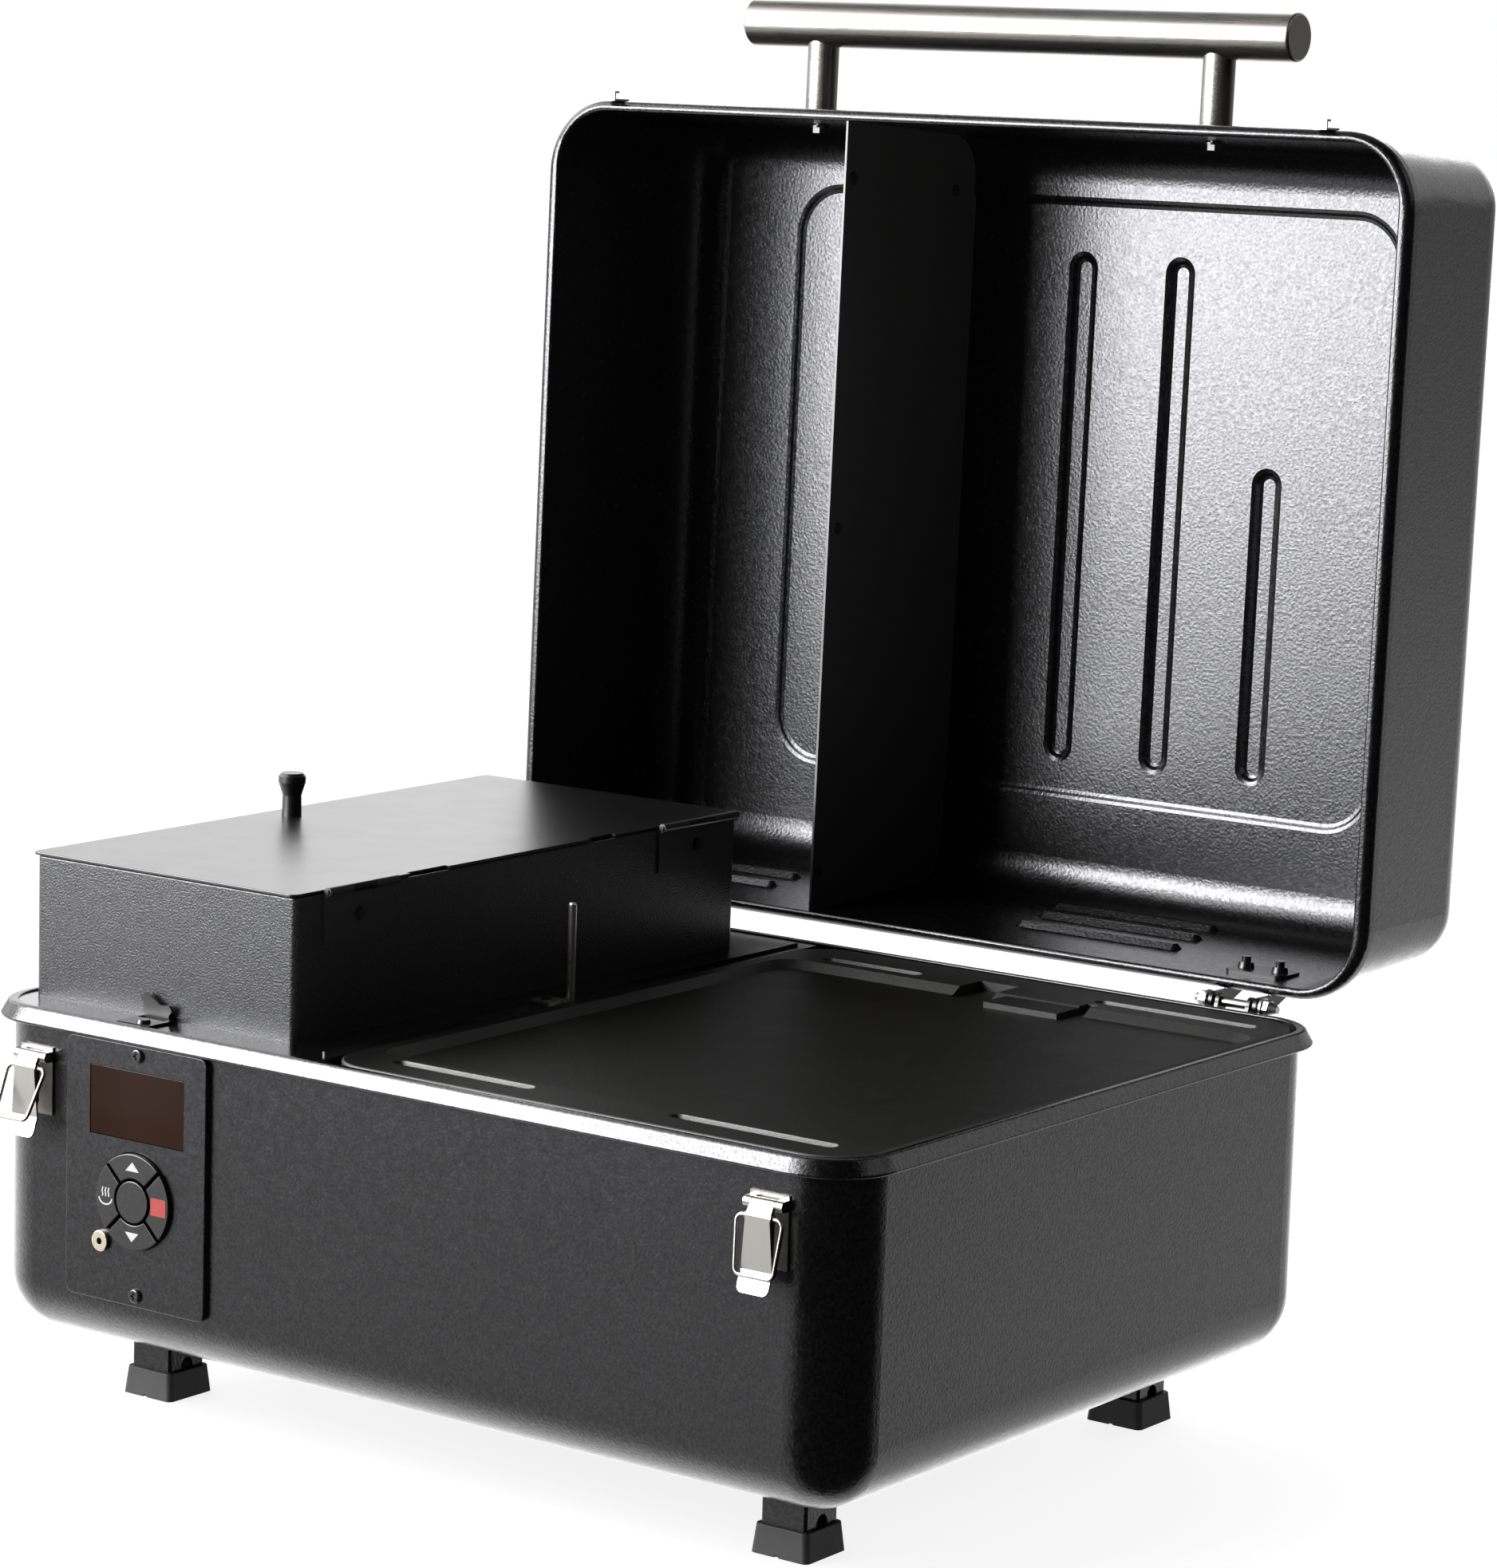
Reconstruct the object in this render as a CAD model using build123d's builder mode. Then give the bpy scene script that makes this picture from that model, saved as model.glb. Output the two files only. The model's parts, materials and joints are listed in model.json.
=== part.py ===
"""Portable tabletop pellet smoker grill, lid open.

Millimetres, +Z up, X to the right along the front, Y to the back.
The origin is on the floor under the middle of the tub.
"""
import os
from math import atan2, cos, degrees, radians, sin, tan

from build123d import *

os.makedirs("parts", exist_ok=True)

# --- driving dimensions -------------------------------------------------------
SHEET = 1.6                     # tub and lid steel
THIN = 1.2                      # brackets, tray and divider steel

TUB_X, TUB_Y = 260.0, 208.0     # half sizes of the tub's outer walls
TUB_CORNER = 31.0               # plan corner radius of the walls
TUB_FILLET = 30.0               # round between walls and bottom
TUB_BOTTOM = 36.0
RIM_TOP = 203.0
BEAD_HEIGHT = 8.5
RIM_LAP = 7.0                   # how far the rolled rim stands out of the walls
RIM_CORNER = 35.5
RIM_SLOPE = 30.0                # lean of the rim's outer face, degrees
DECK_TOP = 202.0
DECK_RIGHT = -47.4              # right edge of the deck beside the griddle

LEG_X, LEG_Y = 195.7, 144.3     # leg centres
LEG_SIZE = 25.4
CAP_TOP, CAP_BOTTOM, CAP_HEIGHT = 29.4, 32.2, 14.0
CAP_FLOOR = 2.0

LID_LAP = 4.0                   # how far the lid's rim overhangs the tub's rim
LID_SEAT = RIM_TOP + 0.4        # rim face of the closed lid
LID_WALL_X, LID_WALL_Y = 265.0, 215.0   # half sizes of the lid walls at the rim
LID_CORNER = 33.0
LID_TOP = 332.0                 # outer top of the closed lid
LID_FILLET = 25.0
LID_DRAFT = 2.5                 # degrees
HINGE_Y, HINGE_Z = 225.5, 202.5
LID_OPEN = 91.6                 # degrees from closed to the open stop
HINGE_X = 200.0                 # centres of the two hinges
ROD_R = 2.5
RUNNING = 0.05                  # radial clearance of a turning fit

HANDLE_R, HANDLE_LENGTH = 12.7, 343.0
HANDLE_Y, HANDLE_Z = -265.5, 258.0      # closed lid
POST_X, POST_R = 125.0, 8.5
DIVIDER_X = -70.0

HOPPER_X0, HOPPER_X1 = -252.0, -80.0
HOPPER_Y0, HOPPER_Y1 = -184.0, 172.0
HOPPER_TOP = 273.0
HOPPER_LID_TOP = 274.8
HOPPER_HINGE_X, HOPPER_HINGE_Z = -77.0, 274.2
KNOB_X, KNOB_Y = -235.5, -10.5

GRIDDLE_X0, GRIDDLE_X1 = -46.2, 257.2
GRIDDLE_Y0, GRIDDLE_Y1 = -205.2, 200.0
GRIDDLE_TOP, GRIDDLE_BOTTOM, GRIDDLE_FLOOR = 203.2, 196.8, 199.4
LEDGE_TOP = 196.5
PROBE_X, PROBE_Y, PROBE_TOP = -50.2, -7.5, 252.4

PANEL_X0, PANEL_X1, PANEL_Z0, PANEL_Z1 = -204.0, -112.0, 63.5, 194.0
PANEL_THICK = 3.0
PANEL_FRONT = -TUB_Y - PANEL_THICK
PAD_X, PAD_Z = -157.2, 116.7    # centre of the round keypad
PAD_R, PAD_HUB_R, KEY_GAP = 23.8, 10.4, 1.2
WINDOW_X0, WINDOW_X1, WINDOW_Z0, WINDOW_Z1 = -188.2, -126.4, 146.4, 181.0
JACK_X, JACK_Z = -179.2, 93.5

LATCH_X = {"left": -226.0, "right": 219.5}
BAIL_OUT = {"left": 26.0, "right": 8.0}     # how far each bail stands off its lever, degrees
LATCH_Z = 179.5                 # lever pin
LATCH_Y = -TUB_Y - 4.4
BAIL_Y, BAIL_Z = -TUB_Y - 8.0, 174.2
BAIL_LENGTH, WIRE_R = 26.7, 1.0

AUGER_Y, AUGER_Z = 0.0, 82.0
TUBE_R, TUBE_BORE = 25.0, 23.0
TUBE_X0, TUBE_X1 = -206.0, 52.0
POT_X, POT_R, POT_TOP = 95.0, 42.0, 132.0
FAN_X, FAN_Z = -165.0, 95.0
INLET_X, INLET_Z = -160.0, 166.0

TUB_INNER_X, TUB_INNER_Y = TUB_X - SHEET, TUB_Y - SHEET
TUB_FLOOR = TUB_BOTTOM + SHEET


def save(piece, name):
    piece.part.label = name
    export_step(piece.part, f"parts/{name}.step")


def span(low, high):
    """Middle and length of an interval."""
    return (low + high) / 2, high - low


def block(x0, x1, y0, y1, z0, z1, mode=Mode.ADD):
    """A box given by its limits, added to the piece being built."""
    with Locations(((x0 + x1) / 2, (y0 + y1) / 2, (z0 + z1) / 2)):
        Box(x1 - x0, y1 - y0, z1 - z0, mode=mode)


# --- planes that move with the lid -------------------------------------------------
# The lid is described closed, and its planes carry it to the open stop.
lean = radians(LID_OPEN)
lid_pivot = Vector(0, HINGE_Y, HINGE_Z)
lid_across = Vector(0, cos(lean), -sin(lean))   # closed +Y
lid_up = Vector(0, sin(lean), cos(lean))        # closed +Z


def lid_level(z):
    """Plane parallel to the rim at height z of the closed lid, with the closed X and Y."""
    origin = lid_pivot + lid_up * (z - HINGE_Z) - lid_across * HINGE_Y
    return Plane(origin=origin, x_dir=(1, 0, 0), z_dir=lid_up)


def lid_section(x):
    """Plane across the lid at x, with the closed Y and Z."""
    origin = lid_pivot - lid_across * HINGE_Y - lid_up * HINGE_Z + Vector(x, 0, 0)
    return Plane(origin=origin, x_dir=lid_across, z_dir=(1, 0, 0))


def lid_front(y):
    """Plane facing the front of the closed lid at y, with the closed X and Z."""
    origin = lid_pivot + lid_across * (y - HINGE_Y) - lid_up * HINGE_Z
    return Plane(origin=origin, x_dir=(1, 0, 0), z_dir=-lid_across)


# --- tub ---------------------------------------------------------------------------
with BuildPart() as tub_cavity:
    with BuildSketch(Plane.XY.offset(TUB_FLOOR)):
        RectangleRounded(2 * TUB_INNER_X, 2 * TUB_INNER_Y, TUB_CORNER - SHEET)
    extrude(amount=RIM_TOP + 5 - TUB_FLOOR)
    fillet(tub_cavity.faces().sort_by(Axis.Z)[0].edges(), TUB_FILLET - SHEET)

with BuildPart() as tub_shell:
    with BuildSketch(Plane.XY.offset(TUB_BOTTOM)):
        RectangleRounded(2 * TUB_X, 2 * TUB_Y, TUB_CORNER)
    extrude(amount=RIM_TOP - TUB_BOTTOM)
    fillet(tub_shell.faces().sort_by(Axis.Z)[0].edges(), TUB_FILLET)
    # rolled rim
    with BuildSketch(Plane.XY.offset(RIM_TOP - BEAD_HEIGHT)):
        RectangleRounded(2 * (TUB_X + RIM_LAP), 2 * (TUB_Y + RIM_LAP), RIM_CORNER)
    extrude(amount=BEAD_HEIGHT, taper=RIM_SLOPE)
    fillet(tub_shell.faces().filter_by(Axis.Z).sort_by(Axis.Z)[-2].outer_wire().edges(), 1.2)
    fillet(tub_shell.faces().filter_by(Axis.Z).sort_by(Axis.Z)[-1].outer_wire().edges(), 2.4)
    add(tub_cavity.part, mode=Mode.SUBTRACT)
    inner_edge = tub_shell.faces().filter_by(Axis.Z).sort_by(Axis.Z)[-1].inner_wires()[0]
    fillet(inner_edge.edges(), 0.8)
    # opening behind the control panel
    block(-198, -116, -TUB_Y - 1, -TUB_INNER_Y + 1, 74, 184, mode=Mode.SUBTRACT)
    # panel screw holes
    with BuildSketch(Plane.XZ.offset(TUB_INNER_Y - 1)):
        with Locations((-156.4, 189.1), (-156.4, 69.5)):
            Circle(1.9)
    extrude(amount=SHEET + 2, mode=Mode.SUBTRACT)
    # power inlet and fan intake slots in the back
    block(INLET_X - 12, INLET_X + 12, TUB_INNER_Y - 1, TUB_Y + 1, INLET_Z - 12, INLET_Z + 12, mode=Mode.SUBTRACT)
    with BuildSketch(Plane.XZ.offset(-TUB_Y - 1)):
        with Locations((FAN_X, FAN_Z)):
            with GridLocations(0, 9, 1, 6):
                SlotOverall(52, 4)
    extrude(amount=SHEET + 2, mode=Mode.SUBTRACT)
save(tub_shell, "tub_shell")

with BuildPart() as deck_plate:
    with BuildSketch(Plane.XY.offset(DECK_TOP - THIN)):
        RectangleRounded(2 * TUB_INNER_X, 2 * TUB_INNER_Y, TUB_CORNER - SHEET)
        cut_mid, cut_size = span(DECK_RIGHT, TUB_X)
        with Locations((cut_mid, 0)):
            Rectangle(cut_size, 2 * TUB_Y, mode=Mode.SUBTRACT)
        with Locations((span(HOPPER_X0, HOPPER_X1)[0], span(HOPPER_Y0, HOPPER_Y1)[0])):
            RectangleRounded(150, 320, 6, mode=Mode.SUBTRACT)
        with Locations((PROBE_X, PROBE_Y)):
            Circle(2.3, mode=Mode.SUBTRACT)
        with Locations((-58, -17)):
            Circle(1.6, mode=Mode.SUBTRACT)
        with Locations((-162.5, -201)):
            Circle(1.6, mode=Mode.SUBTRACT)
    extrude(amount=THIN)
    # upright lips beside the griddle, broken at the probe
    block(-55.4, -54.2, -192, -36, DECK_TOP, DECK_TOP + 1.6)
    block(-55.4, -54.2, 14, 196, DECK_TOP, DECK_TOP + 1.6)
save(deck_plate, "deck_plate")

with BuildPart() as griddle_frame:
    ledge_mid, ledge_size = span(DECK_RIGHT - 9, TUB_X)
    block(DECK_RIGHT - 9, TUB_X, -TUB_Y, TUB_Y, LEDGE_TOP - SHEET, LEDGE_TOP)
    with BuildSketch(Plane.XY.offset(LEDGE_TOP - 5)):
        with Locations((span(GRIDDLE_X0 + 14, GRIDDLE_X1 - 12)[0], -2.5)):
            RectangleRounded(span(GRIDDLE_X0 + 14, GRIDDLE_X1 - 12)[1], 380, 16)
    extrude(amount=10, mode=Mode.SUBTRACT)
    # riser that carries the deck's edge
    block(DECK_RIGHT - 9, DECK_RIGHT - 9 + SHEET, -190, 190, LEDGE_TOP, DECK_TOP - THIN)
    add(tub_cavity.part, mode=Mode.INTERSECT)
save(griddle_frame, "griddle_frame")

with BuildPart() as firewall:
    block(-51.2 - SHEET, -51.2, -TUB_Y, TUB_Y, TUB_BOTTOM, LEDGE_TOP - SHEET)
    add(tub_cavity.part, mode=Mode.INTERSECT)
    with BuildSketch(Plane.YZ.offset(-60)):
        with Locations((AUGER_Y, AUGER_Z)):
            Circle(TUBE_R + 0.2)
        with Locations((174, 62)):
            Rectangle(42, 20)
    extrude(amount=20, mode=Mode.SUBTRACT)
save(firewall, "firewall")

# --- legs and rubber caps ------------------------------------------------------------
corners = {
    "front_left": (-LEG_X, -LEG_Y),
    "front_right": (LEG_X, -LEG_Y),
    "rear_left": (-LEG_X, LEG_Y),
    "rear_right": (LEG_X, LEG_Y),
}
for corner, (leg_x, leg_y) in corners.items():
    with BuildPart() as leg:
        with BuildSketch(Plane.XY.offset(CAP_FLOOR)):
            with Locations((leg_x, leg_y)):
                RectangleRounded(LEG_SIZE, LEG_SIZE, 1.5)
                RectangleRounded(LEG_SIZE - 2 * SHEET, LEG_SIZE - 2 * SHEET, 0.6, mode=Mode.SUBTRACT)
        extrude(amount=TUB_BOTTOM - CAP_FLOOR)
        with BuildSketch(Plane.YZ.offset(leg_x - LEG_SIZE)):
            with Locations((leg_y, 15.5)):
                Circle(4.4)
        extrude(amount=2 * LEG_SIZE, mode=Mode.SUBTRACT)
    save(leg, f"leg_{corner}")

    with BuildPart() as foot_cap:
        with BuildSketch(Plane.XY):
            with Locations((leg_x, leg_y)):
                RectangleRounded(CAP_BOTTOM, CAP_BOTTOM, 3)
        with BuildSketch(Plane.XY.offset(CAP_HEIGHT)):
            with Locations((leg_x, leg_y)):
                RectangleRounded(CAP_TOP, CAP_TOP, 3)
        loft()
        with BuildSketch(Plane.XY.offset(CAP_FLOOR)):
            with Locations((leg_x, leg_y)):
                RectangleRounded(LEG_SIZE, LEG_SIZE, 1.5)
        extrude(amount=CAP_HEIGHT, mode=Mode.SUBTRACT)
        fillet(foot_cap.faces().sort_by(Axis.Z)[-1].outer_wire().edges(), 0.6)
        with Locations((leg_x - 1, leg_y - CAP_BOTTOM / 2, 0)):
            Cylinder(1.3, 3, rotation=(90, 0, 0), mode=Mode.SUBTRACT)
    save(foot_cap, f"foot_cap_{corner}")

# --- control panel ---------------------------------------------------------------------
with BuildPart() as panel_plate:
    with BuildSketch(Plane.XZ.offset(TUB_Y)):
        with Locations((span(PANEL_X0, PANEL_X1)[0], span(PANEL_Z0, PANEL_Z1)[0])):
            RectangleRounded(PANEL_X1 - PANEL_X0, PANEL_Z1 - PANEL_Z0, 4.5)
        with Locations((span(WINDOW_X0, WINDOW_X1)[0], span(WINDOW_Z0, WINDOW_Z1)[0])):
            Rectangle(WINDOW_X1 - WINDOW_X0, WINDOW_Z1 - WINDOW_Z0, mode=Mode.SUBTRACT)
        with Locations((PAD_X, PAD_Z)):
            Circle(PAD_R + 0.5, mode=Mode.SUBTRACT)
        with Locations((JACK_X, JACK_Z)):
            Circle(3.4, mode=Mode.SUBTRACT)
        with Locations((-156.4, 189.1), (-156.4, 69.5)):
            Circle(1.9, mode=Mode.SUBTRACT)
    extrude(amount=PANEL_THICK)
    fillet(panel_plate.faces().sort_by(Axis.Y)[0].outer_wire().edges(), 0.8)
save(panel_plate, "panel_plate")

with BuildPart() as display_window:
    with BuildSketch(Plane.XZ.offset(TUB_Y)):
        with Locations((span(WINDOW_X0, WINDOW_X1)[0], span(WINDOW_Z0, WINDOW_Z1)[0])):
            Rectangle(WINDOW_X1 - WINDOW_X0 - 0.5, WINDOW_Z1 - WINDOW_Z0 - 0.5)
    extrude(amount=PANEL_THICK - 0.3)
    fillet(display_window.faces().sort_by(Axis.Y)[0].edges(), 0.3)
save(display_window, "display_window")

with BuildPart() as controller_board:
    block(-197, -117, -196, -194.4, 76, 183)
    # display module behind the window
    block(WINDOW_X0 + 2, WINDOW_X1 - 2, -TUB_Y, -196, WINDOW_Z0 + 1, WINDOW_Z1 - 1)
    # power supply, relay and connectors
    block(-192, -160, -194.4, -172, 78, 104)
    block(-150, -122, -194.4, -180, 80, 100)
    block(-190, -122, -194.4, -186, 166, 178)
    # key switches under the keypad
    with BuildSketch(Plane.XZ.offset(196)):
        with Locations((PAD_X, PAD_Z)):
            Circle(3)
            with PolarLocations(17.5, 4):
                Circle(3)
    extrude(amount=7)
save(controller_board, "controller_board")

with BuildPart() as panel_screws:
    for screw_z in (189.1, 69.5):
        with BuildSketch(Plane.XZ.offset(TUB_INNER_Y - 3)):
            with Locations((-156.4, screw_z)):
                Circle(1.8)
        extrude(amount=SHEET + PANEL_THICK + 3)
        with BuildSketch(Plane.XZ.offset(-PANEL_FRONT)):
            with Locations((-156.4, screw_z)):
                Circle(3.6)
        extrude(amount=1.9)
    fillet(panel_screws.faces().sort_by(Axis.Y)[:2].edges(), 1.1)
    with BuildSketch(Plane.XZ.offset(-PANEL_FRONT + 0.9)):
        with Locations((-156.4, 189.1), (-156.4, 69.5)):
            Rectangle(3.6, 0.9)
            Rectangle(0.9, 3.6)
    extrude(amount=3, mode=Mode.SUBTRACT)
save(panel_screws, "panel_screws")

with BuildPart() as probe_jack:
    with BuildSketch(Plane.XZ.offset(196)):
        with Locations((JACK_X, JACK_Z)):
            Circle(3.2)
    extrude(amount=-PANEL_FRONT - 196)
    with BuildSketch(Plane.XZ.offset(-PANEL_FRONT)):
        with Locations((JACK_X, JACK_Z)):
            Circle(5.3)
    extrude(amount=2.2)
    fillet(probe_jack.faces().sort_by(Axis.Y)[0].edges(), 0.7)
    with BuildSketch(Plane.XZ.offset(-PANEL_FRONT + 3)):
        with Locations((JACK_X, JACK_Z)):
            Circle(1.7)
    extrude(amount=-12, mode=Mode.SUBTRACT)
save(probe_jack, "probe_jack")

# keypad: four arc keys round a centre key, each pressed straight in
KEY_FRONT, KEY_BACK = -PANEL_FRONT + 2.6, 204.6
key_turns = {"right": 0, "up": 90, "left": 180, "down": 270}
for key_name, turn in key_turns.items():
    with BuildPart() as key:
        with BuildSketch(Plane.XZ.offset(KEY_BACK)):
            with Locations((PAD_X, PAD_Z)):
                Circle(PAD_R)
                Circle(PAD_HUB_R + KEY_GAP, mode=Mode.SUBTRACT)
            with Locations(Location((PAD_X, PAD_Z, 0), (0, 0, turn))):
                Polygon((KEY_GAP, 0), (40, 40 - KEY_GAP), (40, KEY_GAP - 40), align=None,
                        mode=Mode.INTERSECT)
        extrude(amount=KEY_FRONT - KEY_BACK)
        fillet(key.faces().sort_by(Axis.Y)[0].edges(), 0.6)
    save(key, f"key_{key_name}")

with BuildPart() as key_centre:
    with BuildSketch(Plane.XZ.offset(KEY_BACK)):
        with Locations((PAD_X, PAD_Z)):
            Circle(PAD_HUB_R)
    extrude(amount=KEY_FRONT - KEY_BACK + 0.3)
    fillet(key_centre.faces().sort_by(Axis.Y)[0].edges(), 0.6)
save(key_centre, "key_centre")

# --- draw latches on the tub -----------------------------------------------------------
PIN_R, BARREL_R = 1.3, 2.6
BARREL_HALF = 6.0               # half length of the lever's barrel
BASE_X0, BASE_X1 = 6.4, 10.6    # base barrels either side of it
FLANGE_X0, FLANGE_X1 = 6.0, 7.0     # lever flanges that carry the bail
for side, latch_x in LATCH_X.items():
    with BuildPart() as latch_base:
        block(latch_x - BASE_X1, latch_x + BASE_X1, -TUB_Y - 1.2, -TUB_Y, 150, 184)
        for barrel_x in (latch_x - BASE_X1, latch_x + BASE_X0):
            with BuildSketch(Plane.YZ.offset(barrel_x)):
                with Locations((LATCH_Y, LATCH_Z)):
                    Circle(BARREL_R)
                with Locations(((LATCH_Y - TUB_Y) / 2, LATCH_Z)):
                    Rectangle(-TUB_Y - LATCH_Y, 2 * BARREL_R)
                with Locations((LATCH_Y, LATCH_Z)):
                    Circle(PIN_R, mode=Mode.SUBTRACT)
            extrude(amount=BASE_X1 - BASE_X0)
    save(latch_base, f"latch_{side}_base")

    with BuildPart() as latch_lever:
        # bent strip from the barrel to the finger tab, seen from the side
        with BuildSketch(Plane.YZ.offset(latch_x - 9)):
            Polygon((LATCH_Y - 1.2, LATCH_Z + 2), (LATCH_Y - 2.6, LATCH_Z + 0.4), (BAIL_Y - 2.2, BAIL_Z + 0.5),
                    (BAIL_Y - 1.8, 150), (BAIL_Y - 5.2, 140.2), (BAIL_Y - 4.1, 139.8), (BAIL_Y - 0.6, 149.8),
                    (BAIL_Y - 1.0, BAIL_Z), (LATCH_Y - 1.4, LATCH_Z - 2), align=None)
        extrude(amount=18)
        # its outline, seen from the front
        with BuildSketch(Plane.XZ.offset(-LATCH_Y - 5)) as outline:
            with BuildLine():
                Polyline((latch_x - BARREL_HALF, LATCH_Z + 5), (latch_x + BARREL_HALF, LATCH_Z + 5),
                         (latch_x + BARREL_HALF + 0.6, BAIL_Z), (latch_x + 8.5, 149.8), (latch_x + 8.5, 136),
                         (latch_x - 8.5, 136), (latch_x - 8.5, 149.8), (latch_x - BARREL_HALF - 0.6, BAIL_Z),
                         (latch_x - BARREL_HALF, LATCH_Z + 5))
            make_face()
        extrude(amount=20, mode=Mode.INTERSECT)
        fillet(latch_lever.edges().filter_by(lambda e: e.center().Z < 141 and abs(e.center().X - latch_x) > 8),
               3.2)
        with BuildSketch(Plane.YZ.offset(latch_x - BARREL_HALF)):
            with Locations((LATCH_Y, LATCH_Z)):
                Circle(BARREL_R)
        extrude(amount=2 * BARREL_HALF)
        for flange_x in (latch_x - FLANGE_X1, latch_x + FLANGE_X0):
            with BuildSketch(Plane.YZ.offset(flange_x)):
                with Locations((BAIL_Y, BAIL_Z)):
                    Circle(2.2)
                Polygon((BAIL_Y - 1.4, BAIL_Z + 1.6), (BAIL_Y + 1.6, BAIL_Z), (BAIL_Y + 1.2, 158),
                        (BAIL_Y - 1.2, 151), align=None)
            extrude(amount=FLANGE_X1 - FLANGE_X0)
        with BuildSketch(Plane.YZ.offset(latch_x - 12)):
            with Locations((LATCH_Y, LATCH_Z)):
                Circle(PIN_R + 0.3)
            with Locations((BAIL_Y, BAIL_Z)):
                Circle(WIRE_R + 0.3)
        extrude(amount=24, mode=Mode.SUBTRACT)
    save(latch_lever, f"latch_{side}_lever")

    out = radians(BAIL_OUT[side])
    hanging = Plane(origin=(latch_x, BAIL_Y, BAIL_Z), x_dir=(1, 0, 0), z_dir=(0, cos(out), -sin(out)))
    with BuildPart() as latch_bail:
        with BuildLine(hanging) as loop:
            FilletPolyline((-5.4, 0), (-12.6, 0), (-10.4, BAIL_LENGTH), (10.4, BAIL_LENGTH),
                           (12.6, 0), (5.4, 0), radius=3.4)
        with BuildSketch(Plane(origin=loop.line @ 0, z_dir=loop.line % 0)):
            Circle(WIRE_R)
        sweep()
    save(latch_bail, f"latch_{side}_bail")

with BuildPart() as latch_pins:
    for latch_x in LATCH_X.values():
        with BuildSketch(Plane.YZ.offset(latch_x - 10.6)):
            with Locations((LATCH_Y, LATCH_Z)):
                Circle(PIN_R)
        extrude(amount=21.2)
save(latch_pins, "latch_pins")

# --- hinges between tub and lid ----------------------------------------------------------
TUB_EAR, LID_EAR, EAR = 8.0, 13.0, 2.0      # ear planes either side of each hinge centre

with BuildPart() as tub_hinge_brackets:
    for hinge_x in (-HINGE_X, HINGE_X):
        block(hinge_x - 10, hinge_x + 10, TUB_Y, TUB_Y + EAR, 158, 190)
        for ear_x in (hinge_x - TUB_EAR - EAR, hinge_x + TUB_EAR):
            with BuildSketch(Plane.YZ.offset(ear_x)):
                Polygon((TUB_Y, 160), (TUB_Y, 190), (217, 193.5), (HINGE_Y - 4.5, HINGE_Z),
                        (HINGE_Y + 4.5, HINGE_Z), (HINGE_Y + 1, 190), (TUB_Y + 6, 162), align=None)
                with Locations((HINGE_Y, HINGE_Z)):
                    Circle(4.5)
                    Circle(ROD_R, mode=Mode.SUBTRACT)
            extrude(amount=EAR)
save(tub_hinge_brackets, "tub_hinge_brackets")

with BuildPart() as hinge_rods:
    for hinge_x in (-HINGE_X, HINGE_X):
        with BuildSketch(Plane.YZ.offset(hinge_x - LID_EAR - 9)):
            with Locations((HINGE_Y, HINGE_Z)):
                Circle(ROD_R)
        extrude(amount=2 * (LID_EAR + 9))
save(hinge_rods, "hinge_rods")

with BuildPart() as hinge_cap_nuts:
    for hinge_x in (-HINGE_X, HINGE_X):
        for way in (-1, 1):
            start = hinge_x + way * (LID_EAR + 2.6)
            with BuildSketch(Plane.YZ.offset(start)):
                with Locations((HINGE_Y, HINGE_Z)):
                    Circle(5.2)
            extrude(amount=way * 1.2)
            with BuildSketch(Plane.YZ.offset(start + way * 1.2)):
                with Locations((HINGE_Y, HINGE_Z)):
                    RegularPolygon(4.6, 6)
            extrude(amount=way * 3.4)
            with BuildSketch(Plane.YZ.offset(start + way * 4.6)):
                with Locations((HINGE_Y, HINGE_Z)):
                    Circle(3.7)
            extrude(amount=way * 4.2, taper=22)
    with BuildSketch(Plane.YZ.offset(-HINGE_X - LID_EAR - 9)):
        with Locations((HINGE_Y, HINGE_Z)):
            Circle(ROD_R)
    extrude(amount=2 * (HINGE_X + LID_EAR + 9), mode=Mode.SUBTRACT)
save(hinge_cap_nuts, "hinge_cap_nuts")

# --- lid -------------------------------------------------------------------------------
lid_rise = Axis(lid_pivot, lid_up)
RAISED_X, RAISED_Y = (-189.0, 202.0), (-179.0, 153.0)
RIBS = ((3.0, -149.5, 133.5), (64.5, -149.5, 133.5), (125.4, -40.0, 133.0))
RIB_WIDTH = 20.0
# each pressed step is a soft profile of (rise, slope run) pairs
FIELD_PROFILE = ((0.6, 1.8), (0.8, 1.4), (0.6, 1.8))
RIB_PROFILE = ((0.9, 2.2), (1.6, 1.8), (0.7, 1.7))
RIDGE_WIDTH, RIDGE_RISE = 10.0, 3.0
RIDGES = ((306.0, 22.0, 128.0), (279.0, 30.0, 134.0), (251.0, 34.0, 138.0),
          (279.0, -232.0, -128.0), (251.0, -228.0, -124.0))


def raised_panel(level, inset):
    """The raised field of the lid's top with its ribs, on the closed height level."""
    run = inset
    for rise, step in FIELD_PROFILE:
        with BuildSketch(lid_level(level)) as field:
            with Locations((span(*RAISED_X)[0], span(*RAISED_Y)[0])):
                RectangleRounded(span(*RAISED_X)[1] - run, span(*RAISED_Y)[1] - run, 30 - run / 2)
        extrude(field.sketch, amount=rise, taper=degrees(atan2(step, rise)))
        level += rise
        run += 2 * step
    run = inset
    for rise, step in RIB_PROFILE:
        with BuildSketch(lid_level(level)) as ribs:
            for rib_x, rib_y0, rib_y1 in RIBS:
                with Locations((rib_x, (rib_y0 + rib_y1) / 2)):
                    SlotOverall(rib_y1 - rib_y0 - run, RIB_WIDTH - run, rotation=90)
        extrude(ribs.sketch, amount=rise, taper=degrees(atan2(step, rise)))
        level += rise
        run += 2 * step


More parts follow.
